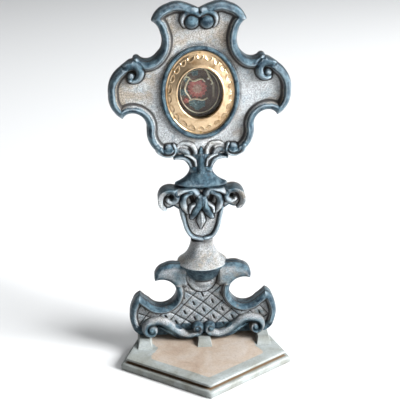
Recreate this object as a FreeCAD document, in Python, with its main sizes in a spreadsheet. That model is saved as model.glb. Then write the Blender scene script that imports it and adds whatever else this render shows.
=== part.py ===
import FreeCAD, Part
import os
import Sketcher

# A small carved reliquary monstrance: a five-sided plinth, a pierced foot board, a turned knop, a carved
# node, a collar and a lobed display board with a glazed oval capsule that goes in through a door behind.
# Origin: centre of the plinth's underside. +X is the viewer's right, -Y the front, +Z up. Millimetres.

doc = FreeCAD.newDocument("monstrance")
sheet = doc.addObject("Spreadsheet::Sheet", "sizes")

drivingSizes = [
    ("plinth_radius", 80.0, "centre to corner of the five-sided plinth"),
    ("lower_step_height", 5.8, "thick bottom board"),
    ("edge_slope", 1.2, "height and depth of the bottom board's sloped top edge"),
    ("cove_height", 1.7, "recessed cove under the top board"),
    ("cove_inset", 7.4, "corner to corner inset of the cove"),
    ("upper_step_height", 2.8, "thin top board"),
    ("step_inset", 4.6, "corner to corner inset of the top board"),
    ("board_line", 17.0, "how far the stem's axis stands behind the plinth's centre"),
    ("block_height", 4.7, "foot blocks, plinth to foot board"),
    ("block_width", 13.0, "outer foot block at the plinth"),
    ("block_head", 9.5, "outer foot block at its top"),
    ("block_spread", 54.2, "stem's axis to the middle of an outer foot block"),
    ("block_reach", 26.5, "foot blocks' toe in front of the stem's axis"),
    ("block_lean", 6.5, "how far the toe slopes back towards its top"),
    ("middle_block_width", 13.2, "middle foot block"),
    ("foot_width", 134.6, "foot board over its side lobes"),
    ("foot_height", 71.5, "foot board, bottom edge to horn tops"),
    ("foot_front", 12.0, "foot board's crest in front of the stem's axis"),
    ("foot_thickness", 18.0, "foot board, crest to back"),
    ("foot_rim", 6.0, "width of the foot board's raised border"),
    ("foot_sink", 3.0, "how deep the lattice field lies below the border"),
    ("scroll_relief", 9.0, "how far the applied scrolls stand out of the foot board"),
    ("scroll_curl", 7.0, "radius of the scrolls' outer curls"),
    ("scroll_ball", 5.2, "radius of the scrolls' inner curls"),
    ("bell_seat", 45.0, "height of the knop's lower end above the foot board's bottom edge"),
    ("bell_height", 46.0, "turned knop"),
    ("bell_ring", 22.5, "radius of the knop's sharp ring"),
    ("node_width", 77.0, "carved node over its volutes"),
    ("node_height", 52.0, "carved node"),
    ("node_front", 11.0, "node's front in front of the stem's axis"),
    ("node_thickness", 21.0, "node, front to back"),
    ("volute_radius", 8.0, "radius of the node's volutes"),
    ("collar_width", 46.0, "collar over its flared rim"),
    ("collar_depth", 19.0, "collar's flared rim, front to back"),
    ("collar_waist", 20.0, "collar at its waist, side to side"),
    ("collar_waist_depth", 15.0, "collar at its waist, front to back"),
    ("collar_flare", 15.0, "height of the flare below the waist"),
    ("collar_height", 31.0, "collar, rim to display board"),
    ("leaf_width", 48.0, "collar's upper leaves, tip to tip"),
    ("display_width", 155.0, "display board over its side lobes"),
    ("display_height", 130.5, "display board, bottom edge to top lobes"),
    ("display_front", 10.0, "display board's crest in front of the stem's axis"),
    ("display_thickness", 20.0, "display board, crest to back"),
    ("display_rim", 9.5, "width of the display board's raised border"),
    ("display_sink", 4.0, "how deep the field lies below the border"),
    ("curl_relief", 1.5, "how far the border's curls stand out of its crest"),
    ("window_height", 54.0, "middle of the window above the display board's bottom edge"),
    ("window_half_width", 21.5, "half width of the hole for the capsule"),
    ("window_half_height", 24.5, "half height of the hole for the capsule"),
    ("sight_half_width", 19.2, "half width of the brass mat's opening"),
    ("sight_half_height", 22.0, "half height of the brass mat's opening"),
    ("mat_half_width", 29.4, "half width of the brass mat"),
    ("mat_half_height", 36.4, "half height of the brass mat"),
    ("mat_thickness", 1.0, "brass mat"),
    ("mould_width", 4.0, "width of the oval moulding round the mat"),
    ("mould_height", 4.6, "height of the oval moulding above the field"),
    ("pin_radius", 0.45, "shank of a mat pin"),
    ("pane_thickness", 2.0, "glass pane"),
    ("seal_space", 1.6, "room for the wax seal between capsule and rear door"),
    ("case_wall", 0.8, "capsule's sheet brass"),
    ("lay", 0.1, "gap between pieces that are laid in one another"),
    ("pad_thickness", 2.8, "silk pad in the capsule"),
    ("door_width", 50.0, "rear door"),
    ("door_height", 57.0, "rear door"),
    ("door_thickness", 3.4, "rear door"),
    ("door_gap", 0.5, "gap all round the rear door"),
    ("knob_radius", 2.6, "rear door's knob"),
    ("hinge_length", 24.0, "butt hinge along its pin"),
    ("leaf_reach", 9.0, "hinge leaf, pin to edge"),
    ("leaf_thickness", 0.9, "hinge leaf"),
    ("knuckle_radius", 1.7, "outside of a hinge knuckle"),
    ("hinge_pin_radius", 0.8, "hinge pin"),
    ("running_gap", 0.05, "radial clearance of a turning pin"),
    ("button_length", 14.0, "turn button"),
    ("button_width", 5.0, "turn button"),
    ("button_thickness", 1.5, "turn button"),
    ("button_offset", 4.0, "door edge to the turn button's screw"),
    ("screw_radius", 1.0, "shank of the small brass screws"),
    ("screw_head", 1.8, "head of the small brass screws"),
    ("dowel_radius", 4.0, "wooden dowel through the stem"),
    ("dowel_root", 26.0, "dowel's depth below the knop's lower end"),
    ("dowel_top", 15.0, "dowel's depth in the display board"),
    ("wood_screw_radius", 2.0, "shank of the plinth screws"),
    ("wood_screw_head", 3.8, "head of the plinth screws"),
    ("wood_screw_length", 30.0, "plinth screws"),
]

size = {}
for row, (alias, number, meaning) in enumerate(drivingSizes, start=1):
    sheet.set(f"A{row}", alias)
    sheet.set(f"B{row}", str(number))
    sheet.set(f"C{row}", meaning)
    sheet.setAlias(f"B{row}", alias)
    size[alias] = number
doc.recompute()

# Heights and depths that follow from the driving sizes, as expressions on the sheet.
plinthTop = "(sizes.lower_step_height + sizes.cove_height + sizes.upper_step_height)"
footBottom = f"({plinthTop} + sizes.block_height)"
bellBottom = f"({footBottom} + sizes.bell_seat)"
nodeBottom = f"({bellBottom} + sizes.bell_height)"
collarBottom = f"({nodeBottom} + sizes.node_height)"
displayBottom = f"({collarBottom} + sizes.collar_height)"
windowMiddle = f"({displayBottom} + sizes.window_height)"
footCrest = "(sizes.board_line - sizes.foot_front)"
footBack = f"({footCrest} + sizes.foot_thickness)"
nodeCrest = "(sizes.board_line - sizes.node_front)"
displayCrest = "(sizes.board_line - sizes.display_front)"
fieldFront = f"({displayCrest} + sizes.display_sink)"
displayBack = f"({displayCrest} + sizes.display_thickness)"
paneFront = f"({fieldFront} + sizes.lay)"
caseFront = f"({paneFront} + sizes.pane_thickness + sizes.lay)"
doorFront = f"({displayBack} - sizes.door_thickness)"
caseBack = f"({doorFront} - sizes.seal_space)"
caseDepth = f"({caseBack} - {caseFront})"
padBack = f"({caseBack} - sizes.case_wall - sizes.lay)"
padFront = f"({padBack} - sizes.pad_thickness)"
hingeX = "(0 - sizes.door_width / 2 - sizes.door_gap)"
hingeY = f"({displayBack} + sizes.knuckle_radius + sizes.lay)"
buttonX = "(sizes.door_width / 2 + sizes.door_gap + sizes.button_offset)"
screwMiddle = f"({footCrest} + sizes.foot_thickness / 2)"

nodes = {}
facingFront = FreeCAD.Rotation(FreeCAD.Vector(1, 0, 0), 90)
ovalTurn = FreeCAD.Rotation(FreeCAD.Vector(1, 1, 1), 240)
intoBoard = FreeCAD.Rotation(FreeCAD.Vector(1, 0, 0), -90)


def bind(item, links):
    for place, expression in links.items():
        item.setExpression(place, expression)
    return item


def keep(item, name):
    item.Label = name
    nodes[name] = item
    return item


def place(x="0", y="0", z="0"):
    return {"Placement.Base.x": str(x), "Placement.Base.y": str(y), "Placement.Base.z": str(z)}


def box(name, length, width, height, x, y, z):
    item = doc.addObject("Part::Box", name)
    return bind(item, {"Length": length, "Width": width, "Height": height, **place(x, y, z)})


def cylinder(name, radius, height, x, y, z, turn=None):
    item = doc.addObject("Part::Cylinder", name)
    if turn:
        item.Placement.Rotation = turn
    return bind(item, {"Radius": radius, "Height": height, **place(x, y, z)})


def cone(name, radius1, radius2, height, x, y, z, turn=None):
    item = doc.addObject("Part::Cone", name)
    if turn:
        item.Placement.Rotation = turn
    return bind(item, {"Radius1": radius1, "Radius2": radius2, "Height": height, **place(x, y, z)})


def fuse(name, pieces):
    item = doc.addObject("Part::MultiFuse", name)
    item.Shapes = pieces
    return item


def cut(name, base, tools):
    item = doc.addObject("Part::Cut", name)
    item.Base = base
    item.Tool = tools[0] if len(tools) == 1 else fuse(name + "_tools", tools)
    return item


def group(name, pieces):
    item = doc.addObject("Part::Compound", name)
    item.Links = pieces
    return keep(item, name)


def oval(name, halfWidth, halfHeight, depth, y, z=windowMiddle, x="0"):
    """An upright oval cylinder whose axis runs front to back, starting at y."""
    ring = doc.addObject("Part::Ellipse", name + "_line")
    ring.Placement.Rotation = ovalTurn
    bind(ring, {"MajorRadius": halfHeight, "MinorRadius": halfWidth, **place(x, y, z)})
    solid = doc.addObject("Part::Extrusion", name)
    solid.Base = ring
    solid.DirMode = "Custom"
    solid.Dir = FreeCAD.Vector(0, 1, 0)
    solid.Solid = True
    bind(solid, {"LengthFwd": depth})
    return solid


def outline(name, start, runs, across, up, y, z, mirrored=True):
    """A closed sketch, seen from the front, of lines and three-point arcs.

    start is (x, z); each run is an end point, or a middle point and an end point.
    across and up are expressions that stretch the drawn millimetres. A mirrored outline
    is the right half, from the middle line to the middle line.
    """
    stretchX = sheet.evalExpression(across)
    stretchZ = sheet.evalExpression(up)
    sketch = doc.addObject("Sketcher::SketchObject", name)
    sketch.Placement.Rotation = facingFront
    bind(sketch, place("0", y, z))
    sides = [1, -1] if mirrored else [1]

    def spot(point, side):
        return FreeCAD.Vector(side * point[0] * stretchX, point[1] * stretchZ, 0)

    rules = []
    bound = []
    edges = {}
    for side in sides:
        here = start
        for index, run in enumerate(runs):
            there = run[-2:]
            if len(run) == 2:
                edge = sketch.addGeometry(Part.LineSegment(spot(here, side), spot(there, side)))
                edges[side, index] = (edge, 1, 2)
            else:
                middle = run[:2]
                arc = Part.Arc(spot(here, side), spot(middle, side), spot(there, side))
                edge = sketch.addGeometry(arc)
                # An arc always turns anticlockwise, so its ends may come out swapped.
                swapped = sketch.getPoint(edge, 1).distanceToPoint(spot(here, side)) > 1e-6
                edges[side, index] = (edge, 2, 1) if swapped else (edge, 1, 2)
                dot = sketch.addGeometry(Part.Point(spot(middle, side)), True)
                rules.append(Sketcher.Constraint("PointOnObject", dot, 1, edge))
                if side == 1:
                    bound.append((dot, 1, middle))
                else:
                    rules.append(Sketcher.Constraint("Symmetric", edges[1, index, "dot"], 1, dot, 1, -2))
                edges[side, index, "dot"] = dot
            here = there
        for index in range(1, len(runs)):
            last = edges[side, index - 1]
            this = edges[side, index]
            rules.append(Sketcher.Constraint("Coincident", last[0], last[2], this[0], this[1]))
    first, last = edges[1, 0], edges[1, len(runs) - 1]
    if mirrored:
        for index in range(len(runs) - 1):
            right, left = edges[1, index], edges[-1, index]
            rules.append(Sketcher.Constraint("Symmetric", right[0], right[2], left[0], left[2], -2))
        leftFirst, leftLast = edges[-1, 0], edges[-1, len(runs) - 1]
        rules.append(Sketcher.Constraint("Coincident", first[0], first[1], leftFirst[0], leftFirst[1]))
        rules.append(Sketcher.Constraint("Coincident", last[0], last[2], leftLast[0], leftLast[2]))
    else:
        rules.append(Sketcher.Constraint("Coincident", last[0], last[2], first[0], first[1]))
    bound.append((first[0], first[1], start))
    ends = runs if mirrored else runs[:-1]
    for index, run in enumerate(ends):
        edge = edges[1, index]
        bound.append((edge[0], edge[2], run[-2:]))
    sketch.addConstraint(rules)
    for geometry, corner, point in bound:
        for kind, axis, value, stretch, expression in (
            ("DistanceX", -2, point[0], stretchX, across),
            ("DistanceY", -1, point[1], stretchZ, up),
        ):
            if value == 0:
                sketch.addConstraint(Sketcher.Constraint("PointOnObject", geometry, corner, axis))
            else:
                rule = Sketcher.Constraint(kind, -1, 1, geometry, corner, value * stretch)
                number = sketch.addConstraint(rule)
                sketch.setExpression(f"Constraints[{number}]", f"({expression}) * {value}")
    return sketch


def grow(name, sketch, back, front="0"):
    """Extrudes an outline: back is the depth behind it, front the height in front of it."""
    solid = doc.addObject("Part::Extrusion", name)
    solid.Base = sketch
    solid.DirMode = "Normal"
    solid.Solid = True
    bind(solid, {"LengthFwd": front, "LengthRev": back})
    return solid


def inset(name, sketch, distance):
    item = doc.addObject("Part::Offset2D", name)
    item.Source = sketch
    return bind(item, {"Value": f"0 - {distance}"})


def prism(name, radius, height, z):
    item = doc.addObject("Part::Prism", name)
    item.Polygon = 5
    item.Placement.Rotation = FreeCAD.Rotation(FreeCAD.Vector(0, 0, 1), -90)
    return bind(item, {"Circumradius": radius, "Height": height, **place("0", "0", z)})


def pentagon(name, radius, z):
    item = doc.addObject("Part::RegularPolygon", name)
    item.Polygon = 5
    item.Placement.Rotation = FreeCAD.Rotation(FreeCAD.Vector(0, 0, 1), -90)
    return bind(item, {"Circumradius": radius, **place("0", "0", z)})


def loft(name, sections):
    item = doc.addObject("Part::Loft", name)
    item.Sections = sections
    item.Solid = True
    item.Ruled = True
    return item


def turned(name, start, runs, across, up, z):
    """A solid of revolution about the stem's axis, from a half profile of (radius, height) points."""
    profile = outline(name + "_profile", start, runs, across, up, "sizes.board_line", z, mirrored=False)
    solid = doc.addObject("Part::Revolution", name)
    solid.Source = profile
    solid.Solid = True
    solid.Axis = FreeCAD.Vector(0, 0, 1)
    bind(solid, {"Base.y": "sizes.board_line"})
    return solid


def smallScrew(name, x, z, y, length):
    """A brass screw driven forwards into the board: its head lies on y."""
    head = cone(name + "_head", "sizes.screw_head", "sizes.screw_head * 0.6", "0.8", x, y, z, intoBoard)
    shank = cylinder(name + "_shank", "sizes.screw_radius", length, x, f"{y} - {length}", z, intoBoard)
    return fuse(name, [head, shank])


def smallHole(name, x, z, y, length):
    radius = "sizes.screw_radius + sizes.running_gap"
    return cylinder(name, radius, f"{length} + 2", x, f"{y} - {length} - 0.2", z, intoBoard)


# ---------------------------------------------------------------- plinth
slopeBase = "(sizes.lower_step_height - sizes.edge_slope)"
lowerBoard = fuse("lower_board", [
    prism("lower_slab", "sizes.plinth_radius", slopeBase, "0"),
    loft("lower_slope", [
        pentagon("slope_foot", "sizes.plinth_radius", slopeBase),
        pentagon("slope_head", "sizes.plinth_radius - sizes.edge_slope", "sizes.lower_step_height"),
    ]),
])
upperBoard = fuse("upper_board", [
    prism("cove", "sizes.plinth_radius - sizes.cove_inset", "sizes.cove_height", "sizes.lower_step_height"),
    prism("top_board", "sizes.plinth_radius - sizes.step_inset", "sizes.upper_step_height",
          "sizes.lower_step_height + sizes.cove_height"),
])

headDepth = "(sizes.wood_screw_head - sizes.wood_screw_radius)"
screwPlaces = [("left", "0 - sizes.block_spread"), ("middle", "0"), ("right", "sizes.block_spread")]
screws = []
screwHoles = []
for side, x in screwPlaces:
    screws.append(fuse(f"plinth_screw_{side}", [
        cone(f"screw_head_{side}", "sizes.wood_screw_head", "sizes.wood_screw_radius", headDepth,
             x, screwMiddle, "0.6"),
        cylinder(f"screw_shank_{side}", "sizes.wood_screw_radius", "sizes.wood_screw_length",
                 x, screwMiddle, "0.6"),
    ]))
    screwHoles.append(fuse(f"screw_hole_{side}", [
        cone(f"hole_head_{side}", "sizes.wood_screw_head + sizes.lay + 0.6",
             "sizes.wood_screw_radius + sizes.lay", f"{headDepth} + 0.6", x, screwMiddle, "0"),
        cylinder(f"hole_shank_{side}", "sizes.wood_screw_radius + sizes.lay",
                 "sizes.wood_screw_length + sizes.lay + 0.6", x, screwMiddle, "0"),
    ]))
keep(cut("plinth_lower", lowerBoard, screwHoles), "plinth_lower_step")
keep(cut("plinth_upper", upperBoard, screwHoles), "plinth_upper_step")
group("plinth_screws", screws)

# ---------------------------------------------------------------- foot blocks
blockBack = f"({footBack} - sizes.board_line)"
for side, x, width, head, hole in (
    ("left", "0 - sizes.block_spread", "sizes.block_width", "sizes.block_head", screwHoles[0]),
    ("center", "0", "sizes.middle_block_width", "sizes.middle_block_width - 3", screwHoles[1]),
    ("right", "sizes.block_spread", "sizes.block_width", "sizes.block_head", screwHoles[2]),
):
    wedge = doc.addObject("Part::Wedge", f"block_{side}")
    wedge.Placement.Rotation = facingFront
    bind(wedge, {
        "Xmin": f"0 - {width} / 2",
        "Xmax": f"{width} / 2",
        "X2min": f"0 - ({head}) / 2",
        "X2max": f"({head}) / 2",
        "Ymin": "0",
        "Ymax": "sizes.block_height",
        "Zmin": f"0 - {blockBack}",
        "Zmax": "sizes.block_reach",
        "Z2min": f"0 - {blockBack}",
        "Z2max": "sizes.block_reach - sizes.block_lean",
        **place(x, "sizes.board_line", plinthTop),
    })
    keep(cut(f"foot_block_{side}", wedge, [hole]), f"foot_block_{side}")

# ---------------------------------------------------------------- knop, turned between foot board and node
bellAcross = "sizes.bell_ring / 22.5"
bellUp = "sizes.bell_height / 46"
knop = turned("knop", (0, 0), [
    (8, 0),
    (10.6, 2.2, 12.2, 6),
    (15.2, 10.4, 16.6, 15),
    (19.6, 18.6, 22.5, 24.2),
    (22.9, 25, 22.3, 25.9),
    (14.2, 33.5, 10, 44),
    (10, 46),
    (0, 46),
    (0, 0),
], bellAcross, bellUp, bellBottom)

dowelFoot = f"({bellBottom} - sizes.dowel_root)"
dowelLength = f"({displayBottom} + sizes.dowel_top - {dowelFoot})"
dowelHole = cylinder("dowel_hole", "sizes.dowel_radius + sizes.running_gap", f"{dowelLength} + 2 * sizes.lay",
                     "0", "sizes.board_line", f"{dowelFoot} - sizes.lay")
keep(cylinder("dowel", "sizes.dowel_radius", dowelLength, "0", "sizes.board_line", dowelFoot), "stem_dowel")
keep(cut("bell_knop", knop, [dowelHole]), "bell_knop")

# ---------------------------------------------------------------- foot board
footAcross = "sizes.foot_width / 134.6"
footUp = "sizes.foot_height / 71.5"
footLine = outline("foot_line", (0, 0), [
    (56.5, 0),
    (62.4, 4.2, 66, 11.5),
    (67.3, 22, 64, 33.5),
    (61.4, 38.2, 57, 41),
    (53.4, 37.4, 49, 34),
    (38, 28.6, 28, 33.2),
    (24.1, 42.5, 27.5, 51.5),
    (34.5, 55.4, 43, 54.5),
    (42.6, 63.5, 35, 69.8),
    (30, 71.5, 24, 71.3),
    (0, 71),
], footAcross, footUp, footCrest, footBottom)
footBody = grow("foot_body", footLine, "sizes.foot_thickness")
footField = grow("foot_field", inset("foot_field_line", footLine, "sizes.foot_rim"), "sizes.foot_sink", "1")
keep(cut("foot_board", footBody, [footField, knop, dowelHole, *screwHoles]), "foot_panel")

# The applied S scrolls: a rising band between a large outer curl and a small inner one.
for side, sign in (("left", -1), ("right", 1)):
    band = outline(f"scroll_band_{side}", (sign * 1.2, 0.2), [
        (sign * 7.4, 0.2),
        (sign * 8.0, -2.6),
        (sign * 18, -2.9, sign * 27, 1.4),
        (sign * 33.5, 7.2, sign * 40.5, 10.6),
        (sign * 50, 9),
        (sign * 52, 14.6),
        (sign * 42.5, 18.4, sign * 33, 12.6),
        (sign * 23.5, 6.2, sign * 10, 5),
        (sign * 1.2, 5),
        (sign * 1.2, 0.2),
    ], footAcross, footUp, footCrest, footBottom, mirrored=False)
    reliefY = f"{footCrest} - sizes.scroll_relief"
    curl = cylinder(f"outer_curl_{side}", "sizes.scroll_curl", "sizes.scroll_relief - sizes.lay",
                    f"{sign * 48.5} * {footAcross}", reliefY,
                    f"{footBottom} + sizes.scroll_curl + sizes.lay", intoBoard)
    ball = cylinder(f"inner_curl_{side}", "sizes.scroll_ball", "sizes.scroll_relief - sizes.lay",
                    f"{sign * 5.5} * {footAcross}", reliefY, f"{footBottom} + 9.5 * {footUp}", intoBoard)
    ribbon = grow(f"scroll_ribbon_{side}", band, "0 - sizes.lay", "sizes.scroll_relief - 1.5")
    keep(fuse(f"scroll_{side}", [ribbon, curl, ball]), f"foot_scroll_{side}")

# ---------------------------------------------------------------- node: a cup between two volutes
nodeAcross = "sizes.node_width / 77"
nodeUp = "sizes.node_height / 52"
nodeLine = outline("node_line", (0, 0), [
    (8, 2.4, 14, 9.5),
    (17.8, 20, 20, 30.5),
    (24.5, 33.6),
    (29.4, 31.8, 34.4, 32.4),
    (38.5, 40.5, 36, 48.6),
    (31, 51.6, 24, 51.4),
    (13, 52),
    (0, 52),
], nodeAcross, nodeUp, nodeCrest, nodeBottom)
nodeBody = grow("node_body", nodeLine, "sizes.node_thickness")
volutes = []
for side, sign in (("left", -1), ("right", 1)):
    volutes.append(cylinder(f"volute_{side}", "sizes.volute_radius", "sizes.node_thickness - 1",
                            f"{sign * 28.6} * {nodeAcross}", f"{nodeCrest} - 1",
                            f"{nodeBottom} + 42.4 * {nodeUp}", intoBoard))
node = fuse("node_solid", [nodeBody, *volutes])
keep(cut("node", node, [dowelHole]), "stem_node")

# ---------------------------------------------------------------- collar: a flared oval rim under two leaves
def rimOval(name, width, depth, z):
    item = doc.addObject("Part::Ellipse", name)
    links = {"MajorRadius": f"({width}) / 2", "MinorRadius": f"({depth}) / 2"}
    return bind(item, {**links, **place("0", "sizes.board_line", z)})


flareTop = f"({collarBottom} + sizes.collar_flare)"
rimHeight = "2"
flareSections = []
for step, (share, rise) in enumerate(((1, 0), (0.55, 0.2), (0.25, 0.45), (0.08, 0.72), (0, 1))):
    flareSections.append(rimOval(
        f"flare_line_{step}",
        f"(sizes.collar_width * {share} + sizes.collar_waist * {round(1 - share, 2)})",
        f"(sizes.collar_depth * {share} + sizes.collar_waist_depth * {round(1 - share, 2)})",
        f"{collarBottom} + {rimHeight} + (sizes.collar_flare - {rimHeight}) * {rise}"))
flare = loft("collar_flare_solid", flareSections)
rim = loft("collar_rim", [
    rimOval("rim_foot", "sizes.collar_width - 3", "sizes.collar_depth - 3", collarBottom),
    rimOval("rim_head", "sizes.collar_width", "sizes.collar_depth", f"{collarBottom} + {rimHeight}"),
])
leafLine = outline("leaf_line", (0, 0), [
    (9.6, 0),
    (13, 8, 24, 9.6),
    (23, 13.6),
    (16, 16),
    (0, 16),
], "sizes.leaf_width / 48", "(sizes.collar_height - sizes.collar_flare) / 16",
    "sizes.board_line - sizes.collar_waist_depth / 2", flareTop)
leaves = grow("collar_leaves", leafLine, "sizes.collar_waist_depth")
keep(cut("collar", fuse("collar_solid", [rim, flare, leaves]), [dowelHole]), "neck_collar")

# ---------------------------------------------------------------- display board
displayAcross = "sizes.display_width / 155"
displayUp = "sizes.display_height / 130.5"
displayLine = outline("display_line", (0, 0), [
    (21, 0),
    (25.5, -1.7, 31, -1.6),
    (41.5, 6.3, 46, 23),
    (49.4, 33.6, 58, 37.4),
    (62.6, 36.2, 66, 32.5),
    (75.3, 42.3, 77.5, 54),
    (75.2, 67.2, 67, 76.7),
    (62, 80.4, 56, 82),
    (55.6, 84),
    (53.4, 85.3, 50, 83.7),
    (44.5, 81.9, 39, 83.7),
    (32.2, 93, 32.6, 106),
    (34.9, 111.5, 39.5, 115.5),
    (34.3, 124, 26, 128.6),
    (19, 130.5, 11, 129.2),
    (4.6, 126.8, 0, 124.5),
], displayAcross, displayUp, displayCrest, displayBottom)
displayBody = grow("display_body", displayLine, "sizes.display_thickness")
fieldLine = inset("field_line", displayLine, "sizes.display_rim")
field = grow("display_field", fieldLine, "sizes.display_sink", "1")
dished = cut("display_dished", displayBody, [field])
curlDepth = "sizes.display_sink + sizes.curl_relief + 1"
curls = []
for name, x, z, radius in (
    ("top", 6, 115, 5.8),
    ("side", 57.5, 70.5, 6.2),
    ("bottom", 27.5, 4.6, 5.4),
):
    for side, sign in (("left", -1), ("right", 1)):
        curls.append(cylinder(f"curl_{name}_{side}", str(radius), curlDepth, f"{sign * x} * {displayAcross}",
                              f"{displayCrest} - sizes.curl_relief", f"{displayBottom} + {z} * {displayUp}",
                              intoBoard))
recess = box("door_recess", "sizes.door_width + 2 * sizes.door_gap", "sizes.door_thickness + 1",
             "sizes.door_height + 2 * sizes.door_gap", hingeX, doorFront + " - 0.4",
             f"{windowMiddle} - sizes.door_height / 2 - sizes.door_gap")
windowHole = oval("window_hole", "sizes.window_half_width", "sizes.window_half_height",
                  "sizes.display_thickness + 4", f"{displayCrest} - 2")

pins = []
pinHoles = []
pinX = "(sizes.mat_half_width - 1.6)"
pinZ = "(sizes.mat_half_height - 1.6)"
for index, (x, z) in enumerate(((0, 1), (0.8, 0.6), (0.8, -0.6), (0, -1), (-0.8, -0.6), (-0.8, 0.6))):
    across = f"{x} * {pinX}"
    height = f"{windowMiddle} + {z} * {pinZ}"
    headY = f"{fieldFront} - sizes.mat_thickness - 0.4"
    pins.append(fuse(f"pin_{index}", [
        cylinder(f"pin_shank_{index}", "sizes.pin_radius", "5", across, headY, height, intoBoard),
        cylinder(f"pin_head_{index}", "sizes.pin_radius * 2", "0.4", across, headY, height, intoBoard),
    ]))
    pinHoles.append(cylinder(f"pin_hole_{index}", "sizes.pin_radius + sizes.running_gap", "6",
                             across, f"{headY} + 0.4", height, intoBoard))
group("mat_pins", pins)

leafBack = f"({displayBack} + sizes.leaf_thickness)"
leafScrewX = "(sizes.leaf_reach * 0.68)"
leafScrewZ = "(sizes.hinge_length * 0.32)"
boardScrewSpots = [(f"({hingeX} - {leafScrewX})", f"({windowMiddle} + {sign} * {leafScrewZ})")
                   for sign in (-1, 1)]
doorScrewSpots = [(f"({hingeX} + {leafScrewX})", f"({windowMiddle} + {sign} * {leafScrewZ})")
                  for sign in (-1, 1)]
boardHoles = [smallHole(f"board_hole_{number}", x, z, leafBack, "6")
              for number, (x, z) in enumerate(boardScrewSpots)]
doorHoles = [smallHole(f"door_hole_{number}", x, z, leafBack, "3")
             for number, (x, z) in enumerate(doorScrewSpots)]
buttonTop = f"({displayBack} + 2 * sizes.lay + sizes.button_thickness + 0.3)"
buttonHole = smallHole("button_hole", buttonX, windowMiddle, buttonTop, "8")
board = fuse("display_with_curls", [dished, *curls])
keep(cut("display", board, [windowHole, recess, dowelHole, buttonHole, *pinHoles, *boardHoles]),
     "display_panel")

# ---------------------------------------------------------------- window: moulding, mat, pane, capsule
mouldHoleX = "sizes.mat_half_width + sizes.lay"
mouldHoleZ = "sizes.mat_half_height + sizes.lay"
mouldY = f"({fieldFront} - sizes.mould_height)"
keep(cut("moulding", oval("moulding_out", "sizes.mat_half_width + sizes.mould_width",
                          "sizes.mat_half_height + sizes.mould_width", "sizes.mould_height", mouldY),
         [oval("moulding_in", mouldHoleX, mouldHoleZ, "sizes.mould_height + 2", f"{mouldY} - 1")]),
     "window_ring")
matY = f"({fieldFront} - sizes.mat_thickness)"
keep(cut("mat", oval("mat_out", "sizes.mat_half_width", "sizes.mat_half_height", "sizes.mat_thickness", matY),
         [oval("mat_in", "sizes.sight_half_width", "sizes.sight_half_height", "sizes.mat_thickness + 2",
               f"{matY} - 1"), *pinHoles]), "brass_mat")
glassX = "(sizes.window_half_width - sizes.lay)"
glassZ = "(sizes.window_half_height - sizes.lay)"
keep(oval("pane", glassX, glassZ, "sizes.pane_thickness", paneFront), "front_glass")
caseInX = f"({glassX} - sizes.case_wall)"
caseInZ = f"({glassZ} - sizes.case_wall)"
keep(cut("capsule", oval("capsule_out", glassX, glassZ, caseDepth, caseFront),
         [oval("capsule_in", caseInX, caseInZ, caseDepth, f"{caseFront} - sizes.case_wall")]),
     "theca_case")

# ---------------------------------------------------------------- what the capsule holds
keep(oval("pad", f"{caseInX} - sizes.lay", f"{caseInZ} - sizes.lay", "sizes.pad_thickness", padFront),
     "silk_pad")
ribbonY = f"({padFront} - 2 - sizes.lay)"
keep(cut("ribbon", oval("ribbon_out", "17", "20", "2", ribbonY),
         [oval("ribbon_in", "16.2", "19.2", "4", f"{ribbonY} - 1")]), "paper_filigree")
keep(cylinder("disc", "8", "1.4", "-2", f"{padFront} - 1.4 - sizes.lay", f"{windowMiddle} + 2", intoBoard),
     "relic_disc")
bead = doc.addObject("Part::Sphere", "bead")
bind(bead, {"Radius": "1.1", **place("7.2", f"{padFront} - 1.1 - sizes.lay", f"{windowMiddle} + 10.6")})
keep(bead, "relic_bead")
keep(box("strip", "1.6", "0.4", "13", "11", f"{padFront} - 0.4 - sizes.lay", f"{windowMiddle} - 6"),
     "label_strip")
sprigs = []
for number, (x, z, radius) in enumerate(((-3.5, 15, 1.9), (-1.5, -11.6, 3), (-12.4, -4.5, 2.2))):
    sprigs.append(cylinder(f"sprig_{number}", str(radius), "0.8", str(x), f"{padFront} - 0.8 - sizes.lay",
                           f"{windowMiddle} + {z}", intoBoard))
group("silk_sprigs", sprigs)
threadY = f"({caseBack} + sizes.lay)"
thread = fuse("thread", [
    box("thread_up", "0.6", "0.4", f"2 * {caseInZ} - 4", "-0.3", threadY, f"{windowMiddle} - {caseInZ} + 2"),
    box("thread_across", f"2 * {caseInX} - 4", "0.4", "0.6", f"2 - {caseInX}", threadY,
        f"{windowMiddle} - 0.3"),
])
keep(thread, "binding_thread")
sealY = f"({threadY} + 0.4)"
keep(cylinder("seal", "5", "0.7", "0", sealY, windowMiddle, intoBoard), "wax_seal")

# ---------------------------------------------------------------- rear door and its hinge
doorBody = box("door_slab", "sizes.door_width", "sizes.door_thickness", "sizes.door_height",
               "0 - sizes.door_width / 2", doorFront, f"{windowMiddle} - sizes.door_height / 2")
keep(cut("door", doorBody, doorHoles), "rear_door")
knobX = "(sizes.door_width / 2 - 7)"
keep(fuse("knob", [
    cylinder("knob_stalk", "sizes.knob_radius * 0.5", "2", knobX, displayBack, windowMiddle, intoBoard),
    cone("knob_head", "sizes.knob_radius * 0.6", "sizes.knob_radius", "2", knobX, f"{displayBack} + 2",
         windowMiddle, intoBoard),
]), "door_knob")

knuckle = "(sizes.hinge_length / 3)"
hingeFoot = f"({windowMiddle} - sizes.hinge_length / 2)"
pinBore = cylinder("pin_bore", "sizes.hinge_pin_radius + sizes.running_gap", "sizes.hinge_length + 2",
                   hingeX, hingeY, f"{hingeFoot} - 1")
keep(cylinder("hinge_wire", "sizes.hinge_pin_radius", "sizes.hinge_length", hingeX, hingeY, hingeFoot),
     "hinge_pin")
plateStart = "(sizes.knuckle_radius + 0.3)"


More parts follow.
